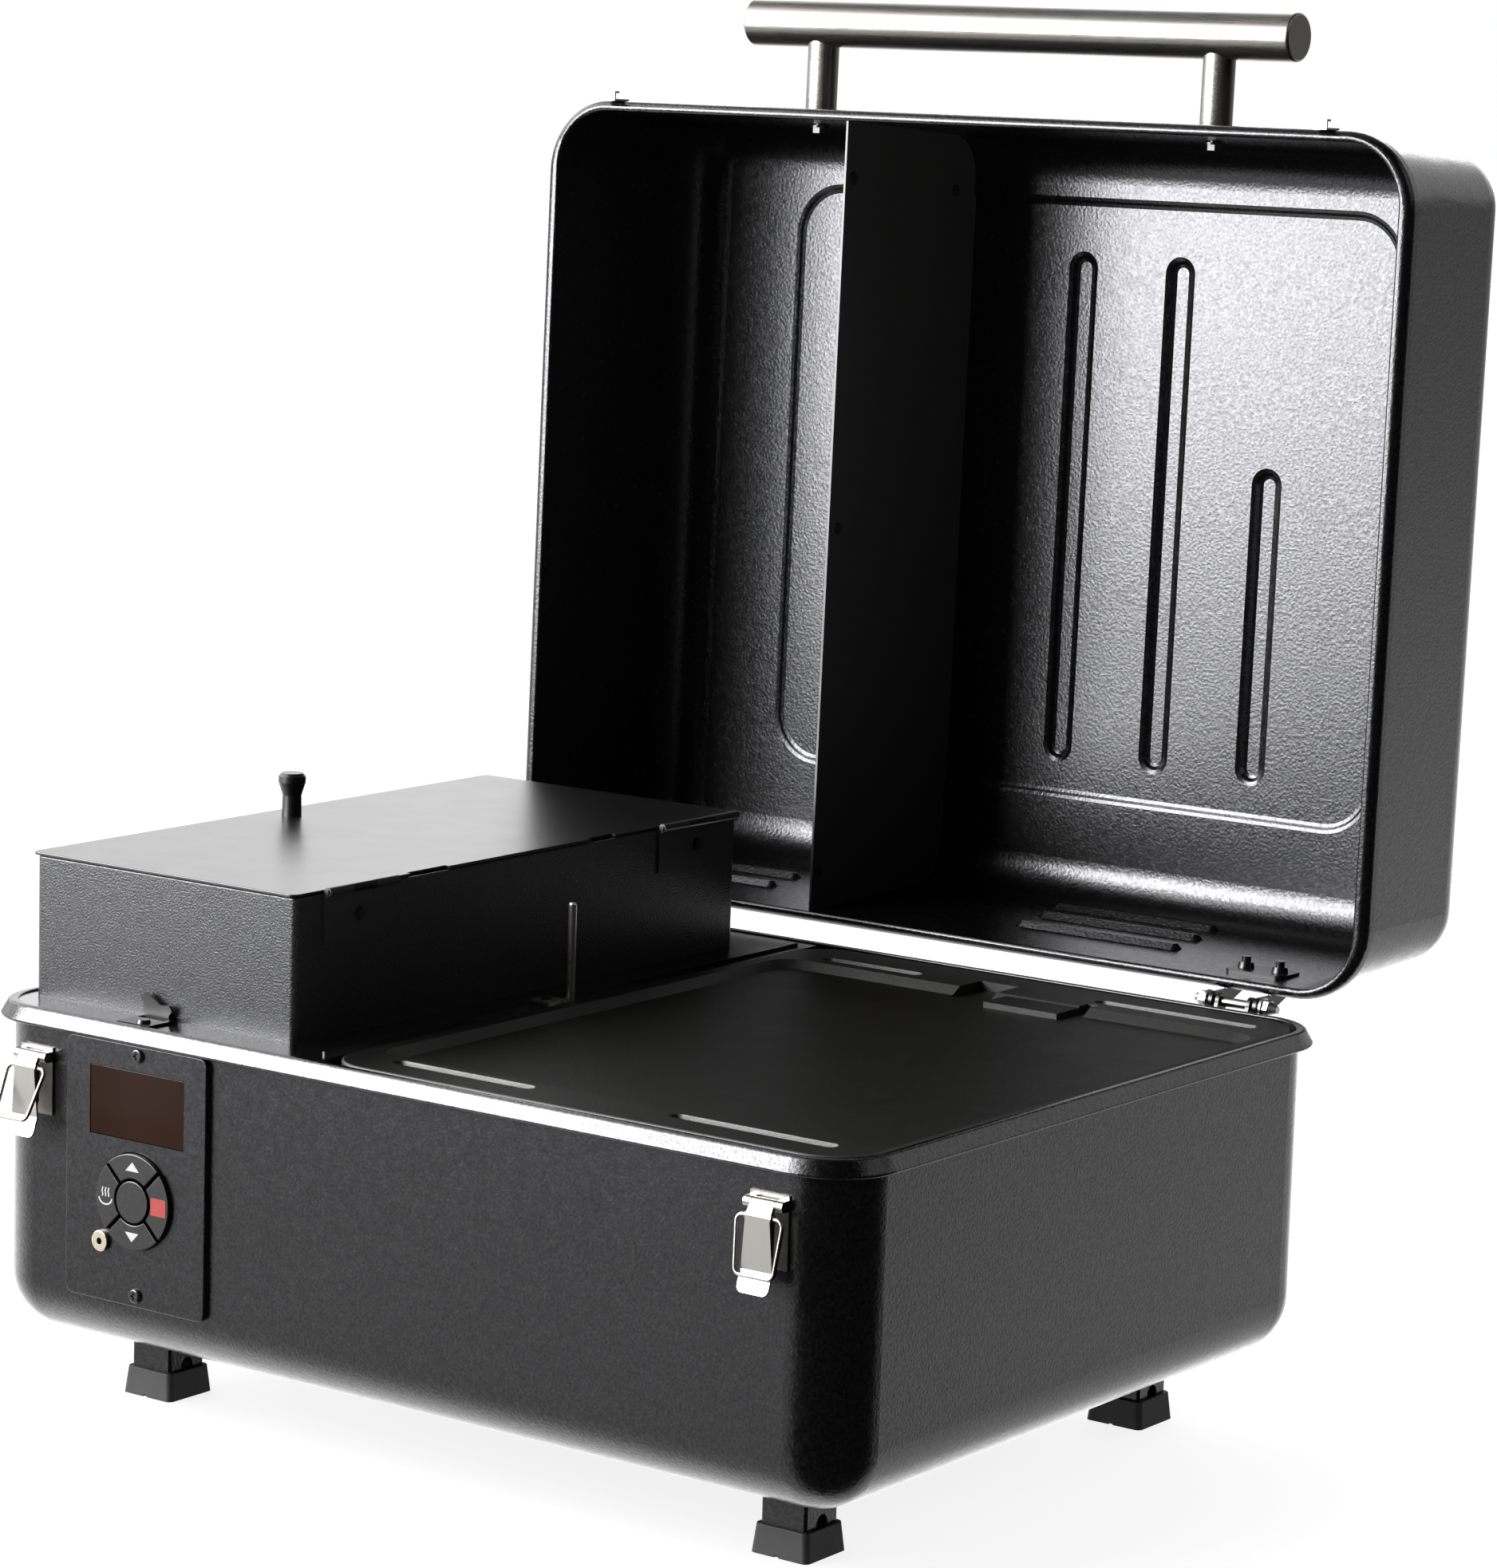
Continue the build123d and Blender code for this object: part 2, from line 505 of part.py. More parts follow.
with BuildPart() as lid_cavity:
    with BuildSketch(lid_level(LID_SEAT)):
        RectangleRounded(2 * (LID_WALL_X - SHEET), 2 * (LID_WALL_Y - SHEET), LID_CORNER - SHEET)
    extrude(amount=LID_TOP - SHEET - LID_SEAT, taper=LID_DRAFT)
    fillet(lid_cavity.faces().sort_by(lid_rise)[-1].edges(), LID_FILLET - SHEET)
    raised_panel(LID_TOP - SHEET, SHEET)

with BuildPart() as lid_shell:
    with BuildSketch(lid_level(LID_SEAT)):
        RectangleRounded(2 * LID_WALL_X, 2 * LID_WALL_Y, LID_CORNER)
    extrude(amount=LID_TOP - LID_SEAT, taper=LID_DRAFT)
    fillet(lid_shell.faces().sort_by(lid_rise)[-1].edges(), LID_FILLET)
    raised_panel(LID_TOP, 0)
    # rolled rim
    with BuildSketch(lid_level(LID_SEAT)):
        RectangleRounded(2 * (TUB_X + RIM_LAP + LID_LAP), 2 * (TUB_Y + RIM_LAP + LID_LAP),
                         RIM_CORNER + LID_LAP)
    extrude(amount=BEAD_HEIGHT)
    fillet(lid_shell.faces().sort_by(lid_rise)[0].outer_wire().edges(), 4.6)
    add(lid_cavity.part, mode=Mode.SUBTRACT)
    fillet(lid_shell.faces().sort_by(lid_rise)[0].inner_wires()[0].edges(), 2.0)
    # stiffening ridges pressed inward in the rear wall, each with a vent slit behind its crest
    for ridge_z, ridge_x0, ridge_x1 in RIDGES:
        wall_y = LID_WALL_Y - (ridge_z - LID_SEAT) * tan(radians(LID_DRAFT))
        with BuildSketch(lid_front(wall_y - SHEET / 2)):
            with Locations(((ridge_x0 + ridge_x1) / 2, ridge_z)):
                SlotOverall(ridge_x1 - ridge_x0, RIDGE_WIDTH)
        extrude(amount=RIDGE_RISE + SHEET / 2, taper=42)
        with BuildSketch(lid_front(wall_y - SHEET - 1)):
            with Locations(((ridge_x0 + ridge_x1) / 2, ridge_z)):
                SlotOverall(ridge_x1 - ridge_x0 - 16, 1.6)
        extrude(amount=-6, mode=Mode.SUBTRACT)
    # handle screw holes in the front wall
    with BuildSketch(lid_front(-LID_WALL_Y + 14)):
        with Locations((-POST_X, HANDLE_Z), (POST_X, HANDLE_Z)):
            Circle(3.2)
    extrude(amount=20, mode=Mode.SUBTRACT)
save(lid_shell, "lid_shell")

with BuildPart() as lid_divider:
    with BuildSketch(lid_section(DIVIDER_X - THIN / 2)):
        with Locations((0, (LID_SEAT + 1.5 + LID_TOP + 2) / 2)):
            Rectangle(2 * LID_WALL_Y, LID_TOP + 2 - LID_SEAT - 1.5)
    extrude(amount=THIN)
    add(lid_cavity.part, mode=Mode.INTERSECT)
    # fold along the top, spot welded to the lid
    with BuildSketch(lid_level(LID_TOP - SHEET - THIN)):
        with Locations((DIVIDER_X - 6, -6)):
            Rectangle(12, 300)
    extrude(amount=THIN)
    with BuildSketch(lid_section(DIVIDER_X - 6)):
        with Locations((-183, 211.5), (-178, 311), (5, 213.7), (192, 210.6)):
            Circle(2)
    extrude(amount=12, mode=Mode.SUBTRACT)
save(lid_divider, "lid_divider")

with BuildPart() as divider_rivets:
    rivet_spots = [(-183, 211.5), (-178, 311), (5, 213.7), (192, 210.6)]
    with BuildSketch(lid_section(DIVIDER_X + THIN / 2)):
        with Locations(rivet_spots):
            Circle(3.4)
    extrude(amount=1.4, taper=25)
    with BuildSketch(lid_section(DIVIDER_X - THIN / 2)):
        with Locations(rivet_spots):
            Circle(3.0)
    extrude(amount=-1.2, taper=25)
    with BuildSketch(lid_section(DIVIDER_X - THIN / 2)):
        with Locations(rivet_spots):
            Circle(2)
    extrude(amount=THIN)
save(divider_rivets, "divider_rivets")

# --- lid handle ---------------------------------------------------------------------------
with BuildPart() as handle_bar:
    with BuildSketch(lid_section(-HANDLE_LENGTH / 2)):
        with Locations((HANDLE_Y, HANDLE_Z)):
            Circle(HANDLE_R)
            Circle(HANDLE_R - 1.5, mode=Mode.SUBTRACT)
    extrude(amount=HANDLE_LENGTH)
    for end_x in (-HANDLE_LENGTH / 2, HANDLE_LENGTH / 2 - 2):
        with BuildSketch(lid_section(end_x)):
            with Locations((HANDLE_Y, HANDLE_Z)):
                Circle(HANDLE_R)
        extrude(amount=2)
    bar_ends = handle_bar.faces().filter_by(Axis.X).sort_by(Axis.X)
    fillet([bar_ends[0].outer_wire().edges()[0], bar_ends[-1].outer_wire().edges()[0]], 1.5)
save(handle_bar, "handle_bar")

with BuildPart() as bar_volume:
    with BuildSketch(lid_section(-HANDLE_LENGTH / 2)):
        with Locations((HANDLE_Y, HANDLE_Z)):
            Circle(HANDLE_R)
    extrude(amount=HANDLE_LENGTH)

with BuildPart() as lid_outer:
    with BuildSketch(lid_level(LID_SEAT)):
        RectangleRounded(2 * LID_WALL_X, 2 * LID_WALL_Y, LID_CORNER)
    extrude(amount=LID_TOP - LID_SEAT, taper=LID_DRAFT)

with BuildPart() as handle_posts:
    with BuildSketch(lid_front(-LID_WALL_Y + 8)):
        with Locations((-POST_X, HANDLE_Z), (POST_X, HANDLE_Z)):
            Circle(POST_R)
    extrude(amount=-HANDLE_Y - LID_WALL_Y + 8)
    add(bar_volume.part, mode=Mode.SUBTRACT)
    add(lid_outer.part, mode=Mode.SUBTRACT)
    with BuildSketch(lid_front(-LID_WALL_Y + 10)):
        with Locations((-POST_X, HANDLE_Z), (POST_X, HANDLE_Z)):
            Circle(3.0)
    extrude(amount=30, mode=Mode.SUBTRACT)
save(handle_posts, "handle_posts")

DRAFT_AT_POST = (HANDLE_Z - LID_SEAT) * tan(radians(LID_DRAFT))
SCREW_SEAT = LID_WALL_Y - DRAFT_AT_POST - SHEET - 0.5
with BuildPart() as handle_screws:
    with BuildSketch(lid_front(-SCREW_SEAT + 2)):
        with Locations((-POST_X, HANDLE_Z), (POST_X, HANDLE_Z)):
            Circle(3.0)
    extrude(amount=26)
    with BuildSketch(lid_front(-SCREW_SEAT)):
        with Locations((-POST_X, HANDLE_Z), (POST_X, HANDLE_Z)):
            Circle(5.2)
    extrude(amount=-1.2)
    with BuildSketch(lid_front(-SCREW_SEAT + 1.2)):
        with Locations((-POST_X, HANDLE_Z), (POST_X, HANDLE_Z)):
            RegularPolygon(4.2, 6)
    extrude(amount=-3)
save(handle_screws, "handle_screws")

# --- catches and hinge brackets on the lid ----------------------------------------------------
LID_RIM_Y = TUB_Y + RIM_LAP + LID_LAP
with BuildPart() as lid_catches:
    for latch_x in LATCH_X.values():
        # strap down the rim's outer face, curled out and up into a cup for the bail
        with BuildSketch(lid_section(latch_x - 4.5)):
            Polygon((-LID_RIM_Y, 211), (-LID_RIM_Y - 1, 211), (-LID_RIM_Y - 1, 199), (-LID_RIM_Y - 4.2, 199),
                    (-LID_RIM_Y - 4.2, 202), (-LID_RIM_Y - 5.2, 202), (-LID_RIM_Y - 5.2, 197.8),
                    (-LID_RIM_Y, 197.8), align=None)
        extrude(amount=9)
save(lid_catches, "lid_catches")

with BuildPart() as lid_hinge_brackets:
    for hinge_x in (-HINGE_X, HINGE_X):
        for ear_x in (hinge_x - LID_EAR - EAR / 2, hinge_x + LID_EAR - EAR / 2):
            with BuildSketch(lid_section(ear_x)):
                Polygon((HINGE_Y - 4.8, HINGE_Z), (HINGE_Y - 4.8, 213.4), (213, 214.5), (213, 244),
                        (219, 240), (HINGE_Y + 3, 216), (HINGE_Y + 4.8, HINGE_Z), align=None)
                with Locations((HINGE_Y, HINGE_Z)):
                    Circle(4.8)
                    Circle(ROD_R + RUNNING, mode=Mode.SUBTRACT)
            extrude(amount=EAR)
        with BuildSketch(lid_section(hinge_x - LID_EAR - EAR / 2)):
            with Locations((214.4, 229)):
                Rectangle(4, 28)
        extrude(amount=2 * LID_EAR + EAR)
    add(lid_outer.part, mode=Mode.SUBTRACT)
    # bolt heads and their backing plate inside the lid
    for hinge_x in (-HINGE_X, HINGE_X):
        with BuildSketch(lid_front(LID_WALL_Y)):
            with Locations((hinge_x, 228)):
                RectangleRounded(34, 22, 4)
        extrude(amount=SHEET + 2.6)
        with BuildSketch(lid_front(LID_WALL_Y - SHEET - 2.6)):
            with Locations((hinge_x - 10, 228), (hinge_x + 10, 228)):
                Circle(4.4)
        extrude(amount=3, taper=12)
        with BuildSketch(lid_front(LID_WALL_Y - SHEET - 5.6)):
            with Locations((hinge_x - 10, 228), (hinge_x + 10, 228)):
                Circle(2.4)
        extrude(amount=3)
    add(lid_shell.part, mode=Mode.SUBTRACT)
    for leftover in lid_hinge_brackets.solids():
        if leftover.volume < 60:
            add(leftover, mode=Mode.SUBTRACT)
save(lid_hinge_brackets, "lid_hinge_brackets")

# --- hopper -----------------------------------------------------------------------------
HOPPER_MID_X, HOPPER_SIZE_X = span(HOPPER_X0, HOPPER_X1)
HOPPER_MID_Y, HOPPER_SIZE_Y = span(HOPPER_Y0, HOPPER_Y1)
THROAT = 36.0                   # opening into the auger tube
with BuildPart() as hopper_box:
    block(HOPPER_X0, HOPPER_X1, HOPPER_Y0, HOPPER_Y1, DECK_TOP, HOPPER_TOP)
    fillet(hopper_box.edges().filter_by(Axis.Z), 4)
    fillet(hopper_box.faces().sort_by(Axis.Z)[-1].edges(), 1.1)
    with BuildSketch(Plane.XY.offset(DECK_TOP)):
        with Locations((HOPPER_MID_X, HOPPER_MID_Y)):
            RectangleRounded(148, 318, 5)
    with BuildSketch(Plane.XY.offset(112)):
        with Locations((HOPPER_MID_X, AUGER_Y)):
            RectangleRounded(THROAT + 2 * THIN, THROAT + 2 * THIN, 5)
    loft()
    with BuildSketch(Plane.XY.offset(AUGER_Z)):
        with Locations((HOPPER_MID_X, AUGER_Y)):
            RectangleRounded(THROAT + 2 * THIN, THROAT + 2 * THIN, 5)
    extrude(amount=112 - AUGER_Z)
    with BuildSketch(Plane.XY.offset(DECK_TOP)):
        with Locations((HOPPER_MID_X, HOPPER_MID_Y)):
            RectangleRounded(148 - 2 * THIN, 318 - 2 * THIN, 4)
    with BuildSketch(Plane.XY.offset(112)):
        with Locations((HOPPER_MID_X, AUGER_Y)):
            RectangleRounded(THROAT, THROAT, 4)
    loft(mode=Mode.SUBTRACT)
    with BuildSketch(Plane.XY.offset(AUGER_Z)):
        with Locations((HOPPER_MID_X, AUGER_Y)):
            RectangleRounded(THROAT, THROAT, 4)
    extrude(amount=112 - AUGER_Z, mode=Mode.SUBTRACT)
    with BuildSketch(Plane.XY.offset(DECK_TOP)):
        with Locations((HOPPER_MID_X, HOPPER_MID_Y)):
            RectangleRounded(148 - 2 * THIN, 318 - 2 * THIN, 4)
    extrude(amount=THIN, mode=Mode.SUBTRACT)
    with BuildSketch(Plane.XY.offset(DECK_TOP + THIN)):
        with Locations((HOPPER_MID_X, HOPPER_MID_Y)):
            RectangleRounded(HOPPER_SIZE_X - 2 * THIN, HOPPER_SIZE_Y - 2 * THIN, 4 - THIN)
    extrude(amount=HOPPER_TOP, mode=Mode.SUBTRACT)
    with BuildSketch(Plane.YZ.offset(HOPPER_X0)):
        with Locations((AUGER_Y, AUGER_Z)):
            Circle(TUBE_R)
    extrude(amount=HOPPER_SIZE_X, mode=Mode.SUBTRACT)
save(hopper_box, "hopper_box")

KNUCKLE_R, HOPPER_PIN_R = 2.2, 1.1
HOPPER_HINGES = {"front": (-165.0, -113.0, 248.0), "rear": (102.0, 168.0, 250.0)}
LID_PLATE_X1 = HOPPER_X1 - 0.4


def hinge_thirds(y0, y1):
    """The three knuckles of a hinge: fixed, moving, fixed."""
    third = (y1 - y0) / 3
    return (y0, y0 + third), (y0 + third + 0.3, y1 - third - 0.3), (y1 - third, y1)


with BuildPart() as hopper_hinge_leaves:
    for y0, y1, leaf_z in HOPPER_HINGES.values():
        block(HOPPER_X1, HOPPER_X1 + THIN, y0, y1, leaf_z, HOPPER_TOP - 1.6)
        for start, end in hinge_thirds(y0, y1)[::2]:
            with BuildSketch(Plane.XZ.offset(-end)):
                with Locations((HOPPER_HINGE_X, HOPPER_HINGE_Z)):
                    Circle(KNUCKLE_R)
                    Circle(HOPPER_PIN_R, mode=Mode.SUBTRACT)
                with Locations((HOPPER_X1 + 1.9, HOPPER_HINGE_Z - 2.2)):
                    Rectangle(2.4, 1.6)
            extrude(amount=end - start)
    add(hopper_box.part, mode=Mode.SUBTRACT)
save(hopper_hinge_leaves, "hopper_hinge_leaves")

with BuildPart() as hopper_hinge_pins:
    for y0, y1, leaf_z in HOPPER_HINGES.values():
        with BuildSketch(Plane.XZ.offset(-y1 - 0.8)):
            with Locations((HOPPER_HINGE_X, HOPPER_HINGE_Z)):
                Circle(HOPPER_PIN_R)
        extrude(amount=y1 - y0 + 1.6)
save(hopper_hinge_pins, "hopper_hinge_pins")

with BuildPart() as hopper_screws:
    for (y0, y1, leaf_z), screw_z in zip(HOPPER_HINGES.values(), (260.5, 262)):
        with BuildSketch(Plane.YZ.offset(HOPPER_X1 + THIN)):
            with Locations(((y0 + y1) / 2, screw_z)):
                Circle(3.6)
        extrude(amount=2, taper=15)
    with BuildSketch(Plane.XY.offset(DECK_TOP + THIN)):
        with Locations((-162.5, -201)):
            Circle(3.6)
    extrude(amount=1.8, taper=15)
    with BuildSketch(Plane.XY.offset(DECK_TOP + THIN)):
        with Locations((-58, -17)):
            Circle(3)
    extrude(amount=1.6, taper=15)
save(hopper_screws, "hopper_screws")

with BuildPart() as hopper_clip:
    block(-176, -155, -205.4, -188 + THIN, DECK_TOP, DECK_TOP + THIN)
    # upright with a scrolled hook at its top
    with BuildSketch(Plane.XZ.offset(188)) as hook:
        with Locations((-165.5, DECK_TOP)):
            Polygon((-9.5, 0), (-9.0, 7.5), (-11.0, 10.5), (-8.5, 13.0), (-4.5, 11.5), (2.0, 7.6), (7.6, 8.2),
                    (9.6, 5.6), (7.4, 3.2), (8.0, 0), align=None)
        fillet(hook.vertices().sort_by(Axis.Y)[2:], 0.8)
    extrude(hook.sketch, amount=-THIN)
    with BuildSketch(Plane.XY.offset(DECK_TOP - 1)):
        with Locations((-162.5, -201)):
            Circle(1.6)
    extrude(amount=4, mode=Mode.SUBTRACT)
save(hopper_clip, "hopper_clip")

with BuildPart() as hopper_lid:
    block(HOPPER_X0 - 1.5, LID_PLATE_X1, HOPPER_Y0 - 1.5, HOPPER_Y1 + 1.5, HOPPER_TOP + 0.4, HOPPER_LID_TOP)
    fillet(hopper_lid.edges().filter_by(Axis.Z), 4)
    fillet(hopper_lid.faces().sort_by(Axis.Z)[-1].edges(), 0.5)
    # front, left and back edges turned down outside the box
    for y0, y1, leaf_z in HOPPER_HINGES.values():
        start, end = hinge_thirds(y0, y1)[1]
        with BuildSketch(Plane.XZ.offset(-end)):
            with Locations((HOPPER_HINGE_X, HOPPER_HINGE_Z)):
                Circle(KNUCKLE_R)
            with Locations((span(LID_PLATE_X1 - 1, HOPPER_HINGE_X)[0], (HOPPER_TOP + 0.4 + HOPPER_LID_TOP) / 2)):
                Rectangle(HOPPER_HINGE_X - LID_PLATE_X1 + 1, HOPPER_LID_TOP - HOPPER_TOP - 0.4)
            with Locations((HOPPER_HINGE_X, HOPPER_HINGE_Z)):
                Circle(HOPPER_PIN_R + RUNNING, mode=Mode.SUBTRACT)
        extrude(amount=end - start)
    for slot_y0, slot_y1 in ((-99, -69), (46, 66)):
        block(LID_PLATE_X1 - 3, LID_PLATE_X1 + 1, slot_y0, slot_y1, HOPPER_TOP, HOPPER_TOP + 5,
              mode=Mode.SUBTRACT)
save(hopper_lid, "hopper_lid")

with BuildPart() as hopper_knob:
    with BuildSketch(Plane.XZ.offset(-KNOB_Y)):
        with BuildLine():
            Polyline((KNOB_X, HOPPER_LID_TOP), (KNOB_X + 5.2, HOPPER_LID_TOP), (KNOB_X + 5.1, HOPPER_LID_TOP + 6),
                     (KNOB_X + 5.0, HOPPER_LID_TOP + 11), (KNOB_X + 7.2, HOPPER_LID_TOP + 18),
                     (KNOB_X + 7.2, HOPPER_LID_TOP + 21), (KNOB_X + 5.6, HOPPER_LID_TOP + 22.8),
                     (KNOB_X, HOPPER_LID_TOP + 22.8), (KNOB_X, HOPPER_LID_TOP))
        make_face()
    revolve(axis=Axis((KNOB_X, KNOB_Y, 0), (0, 0, 1)))
save(hopper_knob, "hopper_knob")

# --- griddle ------------------------------------------------------------------------------
CHANNELS = ((24.0, -183.5, 84.0), (191.0, -183.5, 92.0), (193.0, 177.0, 94.0), (11.0, 172.0, 62.0))
CHANNEL_WIDTH, CHANNEL_DEPTH = 8.0, 2.4
GRIDDLE_MID_X, GRIDDLE_SIZE_X = span(GRIDDLE_X0, GRIDDLE_X1)
GRIDDLE_MID_Y, GRIDDLE_SIZE_Y = span(GRIDDLE_Y0, GRIDDLE_Y1)
POCKET_X0, POCKET_X1, POCKET_Y0, POCKET_Y1 = -37.6, 252.6, -175.0, 160.0
with BuildPart() as griddle:
    with BuildSketch(Plane.XY.offset(GRIDDLE_BOTTOM)):
        with Locations((GRIDDLE_MID_X, GRIDDLE_MID_Y)):
            RectangleRounded(GRIDDLE_SIZE_X, GRIDDLE_SIZE_Y, 26)
    extrude(amount=GRIDDLE_TOP - GRIDDLE_BOTTOM)
    fillet(griddle.faces().sort_by(Axis.Z)[-1].edges(), 1.4)
    # cooking floor with sloped sides
    with BuildSketch(Plane.XY.offset(GRIDDLE_TOP)):
        with Locations((span(POCKET_X0, POCKET_X1)[0], span(POCKET_Y0, POCKET_Y1)[0])):
            RectangleRounded(POCKET_X1 - POCKET_X0, POCKET_Y1 - POCKET_Y0, 14)
    extrude(amount=GRIDDLE_FLOOR - GRIDDLE_TOP, taper=60, mode=Mode.SUBTRACT)
    # grease channels in the front and back borders
    with BuildSketch(Plane.XY.offset(GRIDDLE_TOP)):
        for channel_x, channel_y, length in CHANNELS:
            with Locations((channel_x, channel_y)):
                SlotOverall(length, CHANNEL_WIDTH)
    extrude(amount=-CHANNEL_DEPTH, taper=15, mode=Mode.SUBTRACT)
    # drain notch in the back border and the spout lip beside it
    block(74, 97, POCKET_Y1 - 10, 180, GRIDDLE_FLOOR - 1, GRIDDLE_TOP + 1, mode=Mode.SUBTRACT)
    block(103, 147, 138, POCKET_Y1 + 2, GRIDDLE_FLOOR - 0.5, GRIDDLE_TOP - 0.8)
    block(147, 153, 146, POCKET_Y1 + 8, GRIDDLE_FLOOR, GRIDDLE_TOP + 1, mode=Mode.SUBTRACT)
save(griddle, "griddle")

# --- fire side of the tub --------------------------------------------------------------------
with BuildPart() as firepot:
    with BuildSketch(Plane.XY.offset(TUB_FLOOR)):
        with Locations((POT_X, 0)):
            Circle(POT_R)
    extrude(amount=POT_TOP - TUB_FLOOR)
    with BuildSketch(Plane.XY.offset(TUB_FLOOR + 10)):
        with Locations((POT_X, 0)):
            Circle(POT_R - 2.5)
    extrude(amount=POT_TOP, mode=Mode.SUBTRACT)
    with BuildSketch(Plane.YZ.offset(POT_X - POT_R - 2)):
        with Locations((AUGER_Y, AUGER_Z)):
            Circle(TUBE_BORE)
        with Locations((0, 50)):
            Circle(4)
    extrude(amount=20, mode=Mode.SUBTRACT)
    # air holes
    for air_z in (64, 78, 92):
        with Locations((POT_X, 0, air_z)):
            with PolarLocations(POT_R - 1, 9, start_angle=-100, angular_range=200, rotate=True):
                Cylinder(2.5, 8, rotation=(0, 90, 0), mode=Mode.SUBTRACT)
save(firepot, "firepot")

with BuildPart() as igniter:
    with BuildSketch(Plane.YZ.offset(-20)):
        with Locations((0, 50)):
            Circle(4)
    extrude(amount=POT_X - POT_R + 32)
save(igniter, "igniter")

with BuildPart() as auger_tube:
    with BuildSketch(Plane.YZ.offset(TUBE_X0)):
        with Locations((AUGER_Y, AUGER_Z)):
            Circle(TUBE_R)
            Circle(TUBE_BORE, mode=Mode.SUBTRACT)
    extrude(amount=POT_X - POT_R + 1 - TUBE_X0)
    block(HOPPER_MID_X - THROAT / 2, HOPPER_MID_X + THROAT / 2, -THROAT / 2, THROAT / 2,
          AUGER_Z, AUGER_Z + 30, mode=Mode.SUBTRACT)
    # closed end towards the motor
    with BuildSketch(Plane.YZ.offset(TUBE_X0 - 2)):
        with Locations((AUGER_Y, AUGER_Z)):
            Circle(TUBE_R)
            Circle(5.3, mode=Mode.SUBTRACT)
    extrude(amount=2)
    add(firepot.part, mode=Mode.SUBTRACT)
save(auger_tube, "auger_tube")

FLIGHT_R, SHAFT_R, PITCH = 21.0, 6.0, 38.0
with BuildPart() as flight:
    with BuildLine():
        Helix(PITCH, PITCH * 6, SHAFT_R - 0.6)
    with BuildSketch(Plane.XZ):
        with Locations(((SHAFT_R - 0.6 + FLIGHT_R) / 2, 0)):
            Rectangle(FLIGHT_R - SHAFT_R + 0.6, 2.4)
    sweep(is_frenet=True)

with BuildPart() as auger:
    with BuildSketch(Plane.YZ.offset(TUBE_X0 + 3)):
        with Locations((AUGER_Y, AUGER_Z)):
            Circle(SHAFT_R)
    extrude(amount=244)
    with BuildSketch(Plane.YZ.offset(TUBE_X0 - 14)):
        with Locations((AUGER_Y, AUGER_Z)):
            Circle(5)
    extrude(amount=17)
    with Locations(Location((TUBE_X0 + 12, AUGER_Y, AUGER_Z), (0, 90, 0))):
        add(flight.part)
save(auger, "auger")

with BuildPart() as auger_motor:
    block(TUBE_X0 - 40, TUBE_X0 - 4, -26, 26, AUGER_Z - 24, AUGER_Z + 34)
    fillet(auger_motor.edges().filter_by(Axis.X), 4)
    with BuildSketch(Plane.YZ.offset(TUBE_X0 - 16)):
        with Locations((AUGER_Y, AUGER_Z)):
            Circle(5.3)
    extrude(amount=13, mode=Mode.SUBTRACT)
    with BuildSketch(Plane.XY.offset(TUB_FLOOR)):
        with Locations((TUBE_X0 - 14, 0)):
            Rectangle(16, 40)
    extrude(amount=AUGER_Z - 24 - TUB_FLOOR)
save(auger_motor, "auger_motor")

BLOWER_X0, BLOWER_X1, BLOWER_Y0, BLOWER_Y1 = -212.0, -118.0, 152.0, 198.0
BLOWER_Z0, BLOWER_Z1 = 48.0, 142.0
with BuildPart() as fan_housing:
    block(BLOWER_X0, BLOWER_X1, BLOWER_Y0, BLOWER_Y1, BLOWER_Z0, BLOWER_Z1)
    fillet(fan_housing.edges().filter_by(Axis.Y), 12)
    block(BLOWER_X1 - 14, -51.2 - SHEET, BLOWER_Y0, BLOWER_Y1 - 6, 52, 72)
    block(BLOWER_X1 - 16, -51, BLOWER_Y0 + THIN, BLOWER_Y1 - 6 - THIN, 52 + THIN, 72 - THIN, mode=Mode.SUBTRACT)
    with BuildSketch(Plane.XZ.offset(-BLOWER_Y0 - THIN)):
        with Locations((FAN_X, FAN_Z)):
            RectangleRounded(94 - 2 * THIN, 94 - 2 * THIN, 10)
    extrude(amount=-(BLOWER_Y1 - BLOWER_Y0 - 2 * THIN), mode=Mode.SUBTRACT)
    # intake at the back, shaft hole at the front
    with BuildSketch(Plane.XZ.offset(-BLOWER_Y1 + 4)):
        with Locations((FAN_X, FAN_Z)):
            Circle(30)
    extrude(amount=-10, mode=Mode.SUBTRACT)
    with BuildSketch(Plane.XZ.offset(-BLOWER_Y0 - 4)):
        with Locations((FAN_X, FAN_Z)):
            Circle(4)
    extrude(amount=10, mode=Mode.SUBTRACT)
save(fan_housing, "fan_housing")

with BuildPart() as fan_rotor:
    with BuildSketch(Plane.XZ.offset(-BLOWER_Y0 - 6)):
        with Locations((FAN_X, FAN_Z)):
            Circle(38)
    extrude(amount=-1.6)
    with BuildSketch(Plane.XZ.offset(-BLOWER_Y0 - 7.6)):
        with Locations((FAN_X, FAN_Z)):
            Circle(9)
            with PolarLocations(32, 18):
                Rectangle(11, 1.4, rotation=35)
    extrude(amount=-28)
    with BuildSketch(Plane.XZ.offset(-BLOWER_Y0 - 6)):
        with Locations((FAN_X, FAN_Z)):
            Circle(2.5)
    extrude(amount=14)
save(fan_rotor, "fan_rotor")

with BuildPart() as fan_motor:
    with BuildSketch(Plane.XZ.offset(-BLOWER_Y0)):
        with Locations((FAN_X, FAN_Z)):
            Circle(22)
    extrude(amount=30)
    fillet(fan_motor.faces().sort_by(Axis.Y)[0].edges(), 3)
    with BuildSketch(Plane.XZ.offset(-BLOWER_Y0)):
        with Locations((FAN_X, FAN_Z)):
            Circle(2.8)
    extrude(amount=9, mode=Mode.SUBTRACT)
save(fan_motor, "fan_motor")

